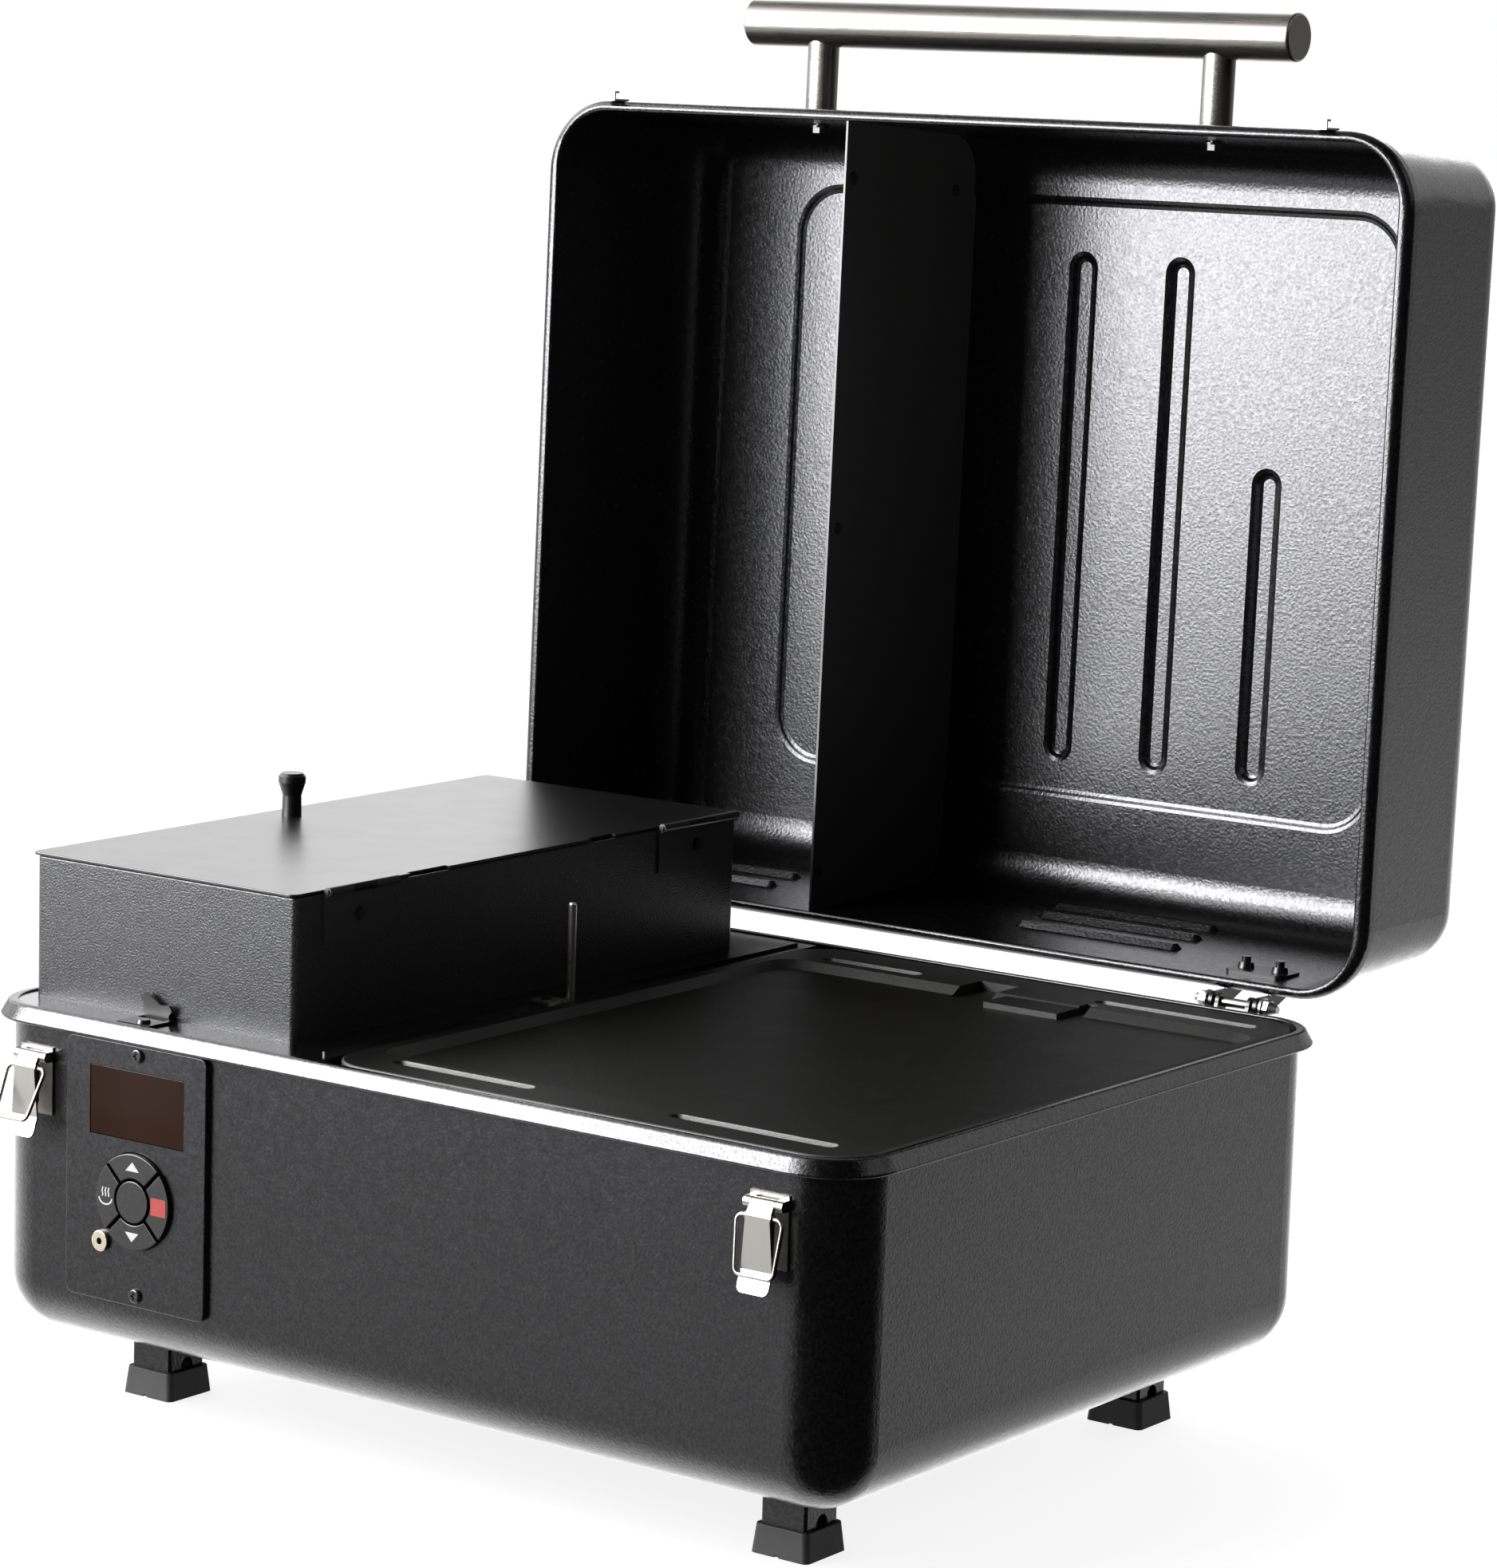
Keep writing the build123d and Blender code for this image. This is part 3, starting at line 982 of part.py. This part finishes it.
with BuildPart() as power_inlet:
    block(INLET_X - 12, INLET_X + 12, 186, TUB_Y, INLET_Z - 12, INLET_Z + 12)
    block(INLET_X - 16, INLET_X + 16, TUB_Y, TUB_Y + 2, INLET_Z - 17, INLET_Z + 17)
    fillet(power_inlet.faces().sort_by(Axis.Y)[-1].edges(), 0.8)
    block(INLET_X - 10, INLET_X + 10, 192, TUB_Y + 3, INLET_Z - 8, INLET_Z + 8, mode=Mode.SUBTRACT)
    for blade_x in (INLET_X - 5.5, INLET_X, INLET_X + 5.5):
        block(blade_x - 1, blade_x + 1, 190, TUB_Y - 2, INLET_Z - 3, INLET_Z + 3)
save(power_inlet, "power_inlet")

with BuildPart() as temp_probe:
    with BuildSketch(Plane.XY.offset(LEDGE_TOP)):
        with Locations((PROBE_X, PROBE_Y)):
            Circle(2.1)
    extrude(amount=PROBE_TOP - LEDGE_TOP)
    fillet(temp_probe.faces().sort_by(Axis.Z)[-1].edges(), 1.2)
    # fixing plate on the deck
    block(-64, PROBE_X - 1, -24, -10, DECK_TOP, DECK_TOP + THIN)
    with BuildSketch(Plane.XY.offset(DECK_TOP - 1)):
        with Locations((-58, -17)):
            Circle(1.6)
    extrude(amount=4, mode=Mode.SUBTRACT)
    block(PROBE_X - 3, PROBE_X, -13, PROBE_Y, DECK_TOP, DECK_TOP + THIN)
save(temp_probe, "temp_probe")

BAFFLE_Z = 150.0
with BuildPart() as heat_baffle:
    block(-44, 248, -190, 190, BAFFLE_Z, BAFFLE_Z + 1.5)
    block(-44, 248, -190, -188.5, BAFFLE_Z, BAFFLE_Z + 14)
    block(-44, 248, 188.5, 190, BAFFLE_Z, BAFFLE_Z + 14)
    for foot_y in (-140, 140):
        for foot_x in (-30, 200):
            block(foot_x, foot_x + 16, foot_y - 8, foot_y + 8, TUB_FLOOR, BAFFLE_Z)
            block(foot_x + 1.5, foot_x + 17, foot_y - 6.5, foot_y + 6.5, TUB_FLOOR - 1, BAFFLE_Z, mode=Mode.SUBTRACT)
save(heat_baffle, "heat_baffle")

with BuildPart() as drip_tray:
    with BuildSketch(Plane.XY.offset(BAFFLE_Z + 14)):
        with Locations((span(-22, 238)[0], 0)):
            RectangleRounded(260, 366, 10)
    extrude(amount=16)
    with BuildSketch(Plane.XY.offset(BAFFLE_Z + 14 + THIN)):
        with Locations((span(-22, 238)[0], 0)):
            RectangleRounded(260 - 2 * THIN, 366 - 2 * THIN, 9)
    extrude(amount=16, mode=Mode.SUBTRACT)
    # lugs that sit on the baffle's edges
    block(20, 60, -190, -182, BAFFLE_Z + 14, BAFFLE_Z + 14 + THIN)
    block(20, 60, 182, 190, BAFFLE_Z + 14, BAFFLE_Z + 14 + THIN)
    block(150, 190, -190, -182, BAFFLE_Z + 14, BAFFLE_Z + 14 + THIN)
    block(150, 190, 182, 190, BAFFLE_Z + 14, BAFFLE_Z + 14 + THIN)
save(drip_tray, "drip_tray")
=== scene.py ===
"""Looks of a portable pellet smoker grill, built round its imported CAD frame. Metres, +Z up."""
import json
import math

import bmesh
import bpy
from mathutils import Matrix, Vector


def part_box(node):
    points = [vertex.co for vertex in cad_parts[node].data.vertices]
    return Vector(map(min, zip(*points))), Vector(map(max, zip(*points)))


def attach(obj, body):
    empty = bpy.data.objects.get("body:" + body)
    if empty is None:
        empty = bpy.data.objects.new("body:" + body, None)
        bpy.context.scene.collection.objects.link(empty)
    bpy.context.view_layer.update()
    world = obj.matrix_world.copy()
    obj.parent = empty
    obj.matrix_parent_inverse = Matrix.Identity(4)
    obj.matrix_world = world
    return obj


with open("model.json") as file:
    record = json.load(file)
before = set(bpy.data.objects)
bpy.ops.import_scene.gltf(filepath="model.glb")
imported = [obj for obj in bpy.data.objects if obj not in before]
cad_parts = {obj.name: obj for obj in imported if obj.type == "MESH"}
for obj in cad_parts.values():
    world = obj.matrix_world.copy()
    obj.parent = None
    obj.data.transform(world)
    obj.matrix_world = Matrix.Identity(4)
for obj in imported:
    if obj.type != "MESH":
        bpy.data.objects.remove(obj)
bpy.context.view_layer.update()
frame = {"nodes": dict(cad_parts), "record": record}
nodes = frame["nodes"]
MM = 0.001


# --- node helpers ----------------------------------------------------------------------
def colour_ramp(tree, source, stops):
    """Colour ramp over (place, colour or grey) stops in a node tree."""
    node = tree.nodes.new("ShaderNodeValToRGB")
    elements = node.color_ramp.elements
    while len(elements) < len(stops):
        elements.new(0.5)
    for element, (place, colour) in zip(elements, stops):
        grey = isinstance(colour, (int, float))
        element.position = place
        element.color = (colour, colour, colour, 1) if grey else (*colour, 1)
    tree.links.new(source, node.inputs["Fac"])
    return node.outputs["Color"]


class Shader:
    """A material under construction, with its Principled BSDF at hand."""

    def __init__(self, name, base, roughness, metallic=0.0, specular=0.5):
        self.material = bpy.data.materials.new(name)
        self.material.use_nodes = True
        self.tree = self.material.node_tree
        self.bsdf = self.tree.nodes["Principled BSDF"]
        self.roughness = roughness
        self.set("Base Color", (*base, 1))
        self.set("Roughness", roughness)
        self.set("Metallic", metallic)
        self.set("Specular IOR Level", specular)
        self.coords = self.add("ShaderNodeTexCoord").outputs["Object"]
        self.normal = None

    def add(self, kind, **settings):
        node = self.tree.nodes.new(kind)
        for key, value in settings.items():
            setattr(node, key, value)
        return node

    def set(self, socket, value):
        self.bsdf.inputs[socket].default_value = value

    def link(self, source, target):
        self.tree.links.new(source, target)

    def stretched(self, scale):
        mapping = self.add("ShaderNodeMapping")
        mapping.inputs["Scale"].default_value = scale
        self.link(self.coords, mapping.inputs["Vector"])
        return mapping.outputs["Vector"]

    def noise(self, scale, detail, roughness=0.5, stretch=None):
        texture = self.add("ShaderNodeTexNoise")
        texture.inputs["Scale"].default_value = scale
        texture.inputs["Detail"].default_value = detail
        texture.inputs["Roughness"].default_value = roughness
        source = self.stretched(stretch) if stretch else self.coords
        self.link(source, texture.inputs["Vector"])
        return texture.outputs["Fac"]

    def cells(self, scale, smoothness):
        texture = self.add("ShaderNodeTexVoronoi", feature="SMOOTH_F1")
        texture.inputs["Scale"].default_value = scale
        texture.inputs["Smoothness"].default_value = smoothness
        self.link(self.coords, texture.inputs["Vector"])
        return texture.outputs["Distance"]

    def bump(self, height, distance, strength):
        node = self.add("ShaderNodeBump")
        node.inputs["Distance"].default_value = distance
        node.inputs["Strength"].default_value = strength
        self.link(height, node.inputs["Height"])
        if self.normal:
            self.link(self.normal, node.inputs["Normal"])
        self.normal = node.outputs["Normal"]
        self.link(self.normal, self.bsdf.inputs["Normal"])

    def vary(self, socket, source, stops):
        self.link(colour_ramp(self.tree, source, stops), self.bsdf.inputs[socket])

    def vary_roughness(self, source, below, above, places=(0.3, 0.7)):
        """Lets the roughness run from this much below to this much above its own value."""
        start, end = places
        self.vary("Roughness", source, ((start, self.roughness - below), (end, self.roughness + above)))


# --- materials ----------------------------------------------------------------------------
COOL_TINT = (0.96, 0.96, 1, 1)


def powder_coat(name, base, roughness, grain, depth, sheen=0.5):
    """Textured powder coat: an orange peel of about 1/grain metres, with real grain and bump, whose pits are
    also made darker and shine less than its tops: painted shade in the pits and painted sheen on the tops.
    """
    shader = Shader(name, base, roughness, specular=sheen)
    painted_pit_shade = tuple(0.7 * channel for channel in base)
    light = tuple(1.5 * channel + 0.001 for channel in base)
    shader.set("Specular Tint", COOL_TINT)
    peel = shader.noise(grain, detail=2)
    # painted shade and sheen: the peel's pits get a darker colour and less sheen, its tops a lighter colour
    # and more sheen
    shader.vary("Base Color", peel, ((0.35, painted_pit_shade), (0.7, light)))
    shader.vary("Specular IOR Level", peel, ((0.3, 0.78 * sheen), (0.5, sheen), (0.68, 1.22 * sheen)))
    shader.vary_roughness(shader.noise(grain * 0.4, detail=2), below=0.03, above=0.03)
    shader.bump(peel, distance=depth, strength=0.8)
    return shader.material


def satin_black(name, base, roughness):
    """Smooth dark paint or plating, with hardly any grain."""
    shader = Shader(name, base, roughness)
    shader.vary_roughness(shader.noise(45, detail=5), below=0.01, above=0.01)
    shader.bump(shader.noise(1800, detail=2), distance=0.00003, strength=0.4)
    return shader.material


def cast_iron(name, base, roughness, sheen=0.09, painted_slope_sheen=0.55):
    """Seasoned casting: sandy grain, broad tone changes, and faces that slope away from level given more
    sheen than flat ones, which is painted sheen along slopes and edges.
    """
    shader = Shader(name, base, roughness, specular=sheen)
    worn = tuple(1.9 * channel for channel in base)
    shader.vary("Base Color", shader.noise(240, detail=6, roughness=0.6), ((0.35, base), (0.72, worn)))
    shader.vary_roughness(shader.noise(30, detail=5), below=0.02, above=0.03)
    # painted sheen: the specular level rises as the face tilts away from level
    upright = shader.add("ShaderNodeSeparateXYZ")
    shader.link(shader.add("ShaderNodeTexCoord").outputs["Normal"], upright.inputs["Vector"])
    shader.vary("Specular IOR Level", upright.outputs["Z"], ((0.93, painted_slope_sheen), (0.99, sheen)))
    shader.bump(shader.noise(900, detail=4, roughness=0.65), distance=0.00022, strength=0.75)
    shader.bump(shader.cells(420, smoothness=0.4), distance=0.0001, strength=0.4)
    return shader.material


def brushed(name, base, roughness, stretch):
    """Brushed metal with hairlines along one direction."""
    shader = Shader(name, base, roughness, metallic=1.0)
    shader.set("Anisotropic", 0.5)
    lines = shader.noise(1.0, detail=3, roughness=0.7, stretch=stretch)
    shader.vary_roughness(lines, below=0.07, above=0.1)
    darker = tuple(0.86 * channel for channel in base)
    shader.vary("Base Color", lines, ((0.3, darker), (0.65, base)))
    shader.bump(lines, distance=0.00003, strength=0.35)
    return shader.material


def plain_metal(name, base, roughness, mottle=0.03):
    """Plated or turned metal whose roughness is mottled a little."""
    shader = Shader(name, base, roughness, metallic=1.0)
    shader.vary_roughness(shader.noise(900, detail=3), below=mottle, above=mottle)
    shader.bump(shader.noise(1500, detail=2), distance=0.00001, strength=0.2)
    return shader.material


def galvanised(name, base, roughness):
    """Sheet with a spangle of crystal patches."""
    shader = Shader(name, base, roughness, metallic=0.9)
    pale = tuple(1.25 * channel for channel in base)
    spangle = shader.cells(160, smoothness=0.1)
    shader.vary("Base Color", spangle, ((0.1, base), (0.6, pale)))
    shader.vary_roughness(spangle, below=0, above=0.15, places=(0.1, 0.7))
    return shader.material


def rubber(name, base, roughness):
    """Matt rubber with paler, worn patches."""
    shader = Shader(name, base, roughness, specular=0.35)
    pale = tuple(1.5 * channel for channel in base)
    shader.vary("Base Color", shader.noise(90, detail=5), ((0.35, base), (0.7, pale)))
    shader.bump(shader.noise(2200, detail=2), distance=0.00005, strength=0.5)
    return shader.material


def moulded(name, base, roughness):
    """Moulded plastic or printed ink with a fine grain."""
    shader = Shader(name, base, roughness, specular=0.45)
    grain = shader.noise(1600, detail=2)
    shader.vary_roughness(grain, below=0.06, above=0.08)
    shader.bump(grain, distance=0.00005, strength=0.5)
    return shader.material


def glossy_window(name, base, roughness):
    """Tinted display window, slightly bowed, with a faint smudge."""
    shader = Shader(name, base, roughness, specular=0.14)
    shader.vary_roughness(shader.noise(35, detail=4), below=0.02, above=0.03, places=(0.4, 0.75))
    shader.bump(shader.noise(20, detail=0), distance=0.006, strength=1.0)
    return shader.material


# each material's recipe, base colour and roughness, then what else the recipe takes
RECIPES = {
    "black_powder_coat": (powder_coat, (0.0028, 0.0028, 0.0032), 0.25, 620, 0.00018),
    # a lightened copy of the black powder coat, so the hopper's shaded side reads lighter: painted light
    "hopper_coat_painted_lift": (powder_coat, (0.019, 0.019, 0.0195), 0.3, 1000, 0.0003),
    "smooth_black": (satin_black, (0.004, 0.004, 0.0044), 0.3),
    "gloss_black": (satin_black, (0.004, 0.004, 0.0042), 0.16),
    "bright_steel": (plain_metal, (0.85, 0.82, 0.77), 0.3),
    "leaf_black": (satin_black, (0.022, 0.022, 0.022), 0.35),
    # black made lighter than the other black finishes, for the lid's divider: painted light
    "divider_painted_light": (satin_black, (0.03, 0.03, 0.029), 0.35),
    "panel_coat": (powder_coat, (0.0035, 0.0035, 0.004), 0.3, 700, 0.00003, 0.42),
    "cast_iron": (cast_iron, (0.006, 0.0054, 0.0045), 0.5),
    "stainless": (brushed, (0.22, 0.21, 0.195), 0.3, (60, 2600, 2600)),
    "latch_steel": (plain_metal, (0.34, 0.33, 0.31), 0.3, 0.01),
    "zinc_plate": (plain_metal, (0.5, 0.5, 0.5), 0.3),
    "black_zinc": (satin_black, (0.01, 0.01, 0.01), 0.28),
    "steel": (plain_metal, (0.32, 0.31, 0.3), 0.45),
    "galvanised": (galvanised, (0.42, 0.43, 0.44), 0.35),
    "rubber": (rubber, (0.017, 0.017, 0.018), 0.62),
    "key_plastic": (moulded, (0.0025, 0.0025, 0.0028), 0.34),
    "window_plastic": (glossy_window, (0.03, 0.0105, 0.005), 0.06),
    "black_plastic": (moulded, (0.01, 0.01, 0.01), 0.35),
    "board": (moulded, (0.01, 0.07, 0.03), 0.4),
    "brass": (plain_metal, (0.62, 0.56, 0.44), 0.25),
    "white_print": (moulded, (0.75, 0.75, 0.73), 0.5),
    "red_print": (moulded, (0.5, 0.012, 0.01), 0.45),
}
materials = {name: recipe(name, *values) for name, (recipe, *values) in RECIPES.items()}

# nodes that look different from the material that their slot names
OTHER_LOOK = {
    "deck_plate": "gloss_black",
    # the divider gets the lightened black: painted light
    "lid_divider": "divider_painted_light",
    "hopper_knob": "key_plastic",
    "hopper_hinge_leaves": "leaf_black",
    "hopper_hinge_pins": "leaf_black",
    "temp_probe": "bright_steel",
    "panel_plate": "panel_coat",
    # the hopper box gets the lightened black coat: painted light
    "hopper_box": "hopper_coat_painted_lift",
    "handle_screws": "black_zinc",
    "hopper_screws": "black_zinc",
    "panel_screws": "black_zinc",
    "divider_rivets": "black_zinc",
}
for side in ("left", "right"):
    for latch_part in ("base", "lever", "bail"):
        OTHER_LOOK[f"latch_{side}_{latch_part}"] = "latch_steel"

SHARP_ANGLE = math.radians(28)


def dress(node, material):
    """Gives a CAD node its material and smooth shading up to its sharp edges."""
    node.data.materials.clear()
    node.data.materials.append(material)
    node.data.shade_smooth()
    node.data.set_sharp_from_angle(angle=SHARP_ANGLE)
    even = node.modifiers.new("even_normals", "WEIGHTED_NORMAL")
    even.keep_sharp = True


slots = {entry["node"]: entry["material_slot"] for entry in frame["record"]["subparts"]}
for node_name, node in nodes.items():
    dress(node, materials[OTHER_LOOK.get(node_name, slots[node_name])])


# --- marks on the keypad ----------------------------------------------------------------------
MARK_LIFT = 0.12 * MM            # from the key's face to the mark's
MARK_DEPTH = 0.2 * MM            # so a mark's back is sunk a little into its key
ARROW_INSET = 6.2 * MM           # from the key's outer edge to the arrow's middle
ARROW_HALF_WIDTH = 4.4 * MM
ARROW_HEIGHT = 4.6 * MM
POWER_INSET = 6.6 * MM
POWER_HALF_WIDTH = 4.8 * MM
POWER_HALF_HEIGHT = 4.3 * MM
STEAM_INSET = 6.2 * MM
STEAM_OFFSETS = (-2.0, 0.0, 2.0)                # the strokes' places, and what follows, in mm
STEAM_WIDTH, STEAM_WAVE, STEAM_RISE = 0.75, 0.3, 0.9
STEAM_TURN = 1.6                 # how far the wave turns from one point to the next, radians
STEAM_POINTS = 6
DISH_OUTER, DISH_INNER = (4.6, 3.6), (3.8, 2.8)  # half width and depth, in mm
DISH_DROP = 0.6
DISH_STEPS = 12


def flat_piece(name, outline, front_y, depth, material, body):
    """A thin plate facing -Y, from an outline of (x, z) points."""
    mesh = bpy.data.meshes.new(name)
    form = bmesh.new()
    ring = [form.verts.new((x, front_y, z)) for x, z in outline]
    face = form.faces.new(ring)
    pushed = bmesh.ops.extrude_face_region(form, geom=[face])["geom"]
    moved = [item for item in pushed if isinstance(item, bmesh.types.BMVert)]
    bmesh.ops.translate(form, verts=moved, vec=(0, depth, 0))
    bmesh.ops.recalc_face_normals(form, faces=form.faces)
    form.to_mesh(mesh)
    form.free()
    piece = bpy.data.objects.new(name, mesh)
    bpy.context.scene.collection.objects.link(piece)
    piece.data.materials.append(materials[material])
    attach(piece, body)


def key_mark(name, outline, key, material):
    """A printed mark on a key's face, which rides on the key's body."""
    front_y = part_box(key)[0].y - MARK_LIFT
    body = key.replace("key_", "button_")
    flat_piece(name, outline, front_y, MARK_DEPTH, material, body)


def arrow(x, z, way):
    """A triangle round (x, z) that points up for way 1 and down for way -1."""
    base_z, tip_z = z - way * ARROW_HEIGHT / 2, z + way * ARROW_HEIGHT / 2
    return [(x - ARROW_HALF_WIDTH, base_z), (x + ARROW_HALF_WIDTH, base_z), (x, tip_z)]


def arrow_marks():
    low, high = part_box("key_up")
    middle = (low.x + high.x) / 2
    key_mark("mark_up", arrow(middle, high.z - ARROW_INSET, 1), "key_up", "white_print")
    low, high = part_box("key_down")
    key_mark("mark_down", arrow(middle, low.z + ARROW_INSET, -1), "key_down", "white_print")


def power_mark():
    low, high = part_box("key_right")
    x, z = high.x - POWER_INSET, (low.z + high.z) / 2
    left, right = x - POWER_HALF_WIDTH, x + POWER_HALF_WIDTH
    bottom, top = z - POWER_HALF_HEIGHT, z + POWER_HALF_HEIGHT
    square = [(left, bottom), (right, bottom), (right, top), (left, top)]
    key_mark("mark_power", square, "key_right", "red_print")


def steam_stroke(x, z, offset):
    """A wavy upright stroke, offset mm to the side of x."""
    left = []
    for step in range(STEAM_POINTS):
        sideways = offset - 0.35 + STEAM_WAVE * math.sin(step * STEAM_TURN)
        left.append((x + sideways * MM, z + (0.2 + step * STEAM_RISE) * MM))
    right = [(px + STEAM_WIDTH * MM, pz) for px, pz in reversed(left)]
    return left + right


def half_ellipse(x, z, radii, start, way):
    """Points from the angle start through half a turn, the way round that way's sign says."""
    half_width, depth = radii
    turns = [start + way * math.pi * step / DISH_STEPS for step in range(DISH_STEPS + 1)]
    return [(x + half_width * MM * math.cos(turn), z - DISH_DROP * MM + depth * MM * math.sin(turn))
            for turn in turns]


def steam_and_dish_marks():
    """Three wavy strokes of steam over a dish."""
    low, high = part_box("key_left")
    x, z = low.x + STEAM_INSET, (low.z + high.z) / 2
    for index, offset in enumerate(STEAM_OFFSETS):
        key_mark(f"mark_steam_{index}", steam_stroke(x, z, offset), "key_left", "white_print")
    outer = half_ellipse(x, z, DISH_OUTER, math.pi, 1)
    inner = half_ellipse(x, z, DISH_INNER, 2 * math.pi, -1)
    key_mark("mark_dish", outer + inner, "key_left", "white_print")


arrow_marks()
power_mark()
steam_and_dish_marks()


# --- camera, floor and light --------------------------------------------------------------------
CAMERA_AZIMUTH, CAMERA_ELEVATION, CAMERA_ROLL = 36.65, 8.90, 1.585      # degrees
CAMERA_DISTANCE = 2.3176
CAMERA_TARGET = Vector((0.07096, -0.09116, 0.33588))
CAMERA_LENS = 112.75                                                    # mm
CAMERA_SHIFT = 0.0499
FLOOR_SIZE = 30
FLOOR_MIDDLE = (0, 6, 0)
FLOOR_GLOW = 0.85
SHADE_CENTRE = CAMERA_AZIMUTH + 25       # middle of the unlit part of the studio, degrees
SHADE_EDGE = 0.57                        # from 0, opposite the middle of that part, to 1, at its middle
SHADE_BLEND = 0.06
WORLD_LEVEL, SIDE_LEVEL, HORIZON_LEVEL, CEILING_LEVEL = 2.4, 0.42, 0.33, 0.15
AROUND_STOPS = ((0.1, 1.0), (0.3, SIDE_LEVEL), (SHADE_EDGE, SIDE_LEVEL), (SHADE_EDGE + SHADE_BLEND, 0))
# from 0, straight down, through 0.5, level, to 1, straight up
UPWARD_STOPS = ((0.4, 1.0), (0.475, HORIZON_LEVEL), (0.53, HORIZON_LEVEL),
                (0.57, 1.0), (0.7, 1.0), (0.88, CEILING_LEVEL))


def studio_floor():
    bpy.ops.mesh.primitive_plane_add(size=FLOOR_SIZE, location=FLOOR_MIDDLE)
    floor = bpy.context.object
    floor.name = "floor"
    surface = Shader("floor_white", (0.5, 0.5, 0.5), 0.9, specular=0.1)
    surface.set("Emission Color", (1, 1, 1, 1))
    surface.set("Emission Strength", FLOOR_GLOW)
    floor.data.materials.append(surface.material)
    floor.visible_glossy = False


def studio_world():
    """White behind the object; what it mirrors is bright to the back and left, unlit in front and right."""
    world = bpy.context.scene.world or bpy.data.worlds.new("studio")
    bpy.context.scene.world = world
    world.use_nodes = True
    tree = world.node_tree
    add, link = tree.nodes.new, tree.links.new

    def vector_math(operation, first, second=None):
        node = add("ShaderNodeVectorMath")
        node.operation = operation
        link(first, node.inputs[0])
        if second:
            node.inputs[1].default_value = second
        return node

    def unit(source):
        """Brings -1..1 to 0..1."""
        node = add("ShaderNodeMapRange")
        node.inputs["From Min"].default_value = -1
        link(source, node.inputs["Value"])
        return node.outputs["Result"]

    direction = add("ShaderNodeTexCoord").outputs["Generated"]
    flat = vector_math("MULTIPLY", direction, (1, 1, 0)).outputs["Vector"]
    compass = vector_math("NORMALIZE", flat).outputs["Vector"]
    angle = math.radians(SHADE_CENTRE)
    shade = (math.sin(angle), -math.cos(angle), 0)
    toward = vector_math("DOT_PRODUCT", compass, shade).outputs["Value"]
    height = add("ShaderNodeSeparateXYZ")
    link(direction, height.inputs["Vector"])
    mirrored = vector_math("MULTIPLY", colour_ramp(tree, unit(toward), AROUND_STOPS))
    link(colour_ramp(tree, unit(height.outputs["Z"]), UPWARD_STOPS), mirrored.inputs[1])

    seen = tree.nodes["Background"]
    seen.inputs["Color"].default_value = (1, 1, 1, 1)
    lit = add("ShaderNodeBackground")
    link(mirrored.outputs["Vector"], lit.inputs["Color"])
    lit.inputs["Strength"].default_value = WORLD_LEVEL
    mix = add("ShaderNodeMixShader")
    link(add("ShaderNodeLightPath").outputs["Is Camera Ray"], mix.inputs["Fac"])
    link(lit.outputs["Background"], mix.inputs[1])
    link(seen.outputs["Background"], mix.inputs[2])
    link(mix.outputs["Shader"], tree.nodes["World Output"].inputs["Surface"])


def area_light(name, place, aim, size, radiance, matte=True):
    """A soft box whose face shines evenly with the given radiance; matte says if it lights matte surfaces."""
    data = bpy.data.lights.new(name, "AREA")
    data.shape = "RECTANGLE"
    data.size, data.size_y = size
    data.energy = radiance * math.pi * size[0] * size[1]
    light = bpy.data.objects.new(name, data)
    light.location = place
    light.rotation_euler = (Vector(aim) - Vector(place)).to_track_quat("-Z", "Y").to_euler()
    bpy.context.scene.collection.objects.link(light)
    light.visible_diffuse = matte


def camera():
    """The photograph's standpoint, worked out from the object's own edges."""
    azimuth, elevation = math.radians(CAMERA_AZIMUTH), math.radians(CAMERA_ELEVATION)
    roll = math.radians(CAMERA_ROLL)
    back = Vector((math.sin(azimuth) * math.cos(elevation), -math.cos(azimuth) * math.cos(elevation),
                   math.sin(elevation)))
    right = (-back).cross(Vector((0, 0, 1))).normalized()
    up = back.cross(right)
    rolled_right = right * math.cos(roll) + up * math.sin(roll)
    rolled_up = up * math.cos(roll) - right * math.sin(roll)
    turn = Matrix((rolled_right, rolled_up, back)).transposed()
    data = bpy.data.cameras.new("camera")
    data.lens = CAMERA_LENS
    data.shift_x = CAMERA_SHIFT
    eye = bpy.data.objects.new("camera", data)
    eye.matrix_world = Matrix.Translation(CAMERA_TARGET + back * CAMERA_DISTANCE) @ turn.to_4x4()
    bpy.context.scene.collection.objects.link(eye)
    bpy.context.scene.camera = eye


studio_floor()
studio_world()
area_light("key_left", (-1.25, -1.45, 1.02), (0.0, 0.0, 1.02), (1.5, 1.5), 25.5, matte=False)
area_light("arc_left", (-1.3, -0.55, 1.45), (0, -0.1, 0.3), (2.0, 1.2), 3.5, matte=False)
area_light("soft_fill", (-1.0, -1.4, 1.5), (0, 0, 0.25), (1.6, 1.6), 3)
area_light("fill_right", (1.6, 0.5, 1.5), (0.2, 0, 0.2), (1.2, 1.2), 0.8)
area_light("back_left", (-0.9, 1.9, 1.7), (0, 0, 0.35), (1.6, 1.2), 2, matte=False)
camera()

bpy.context.scene.view_settings.view_transform = "Standard"
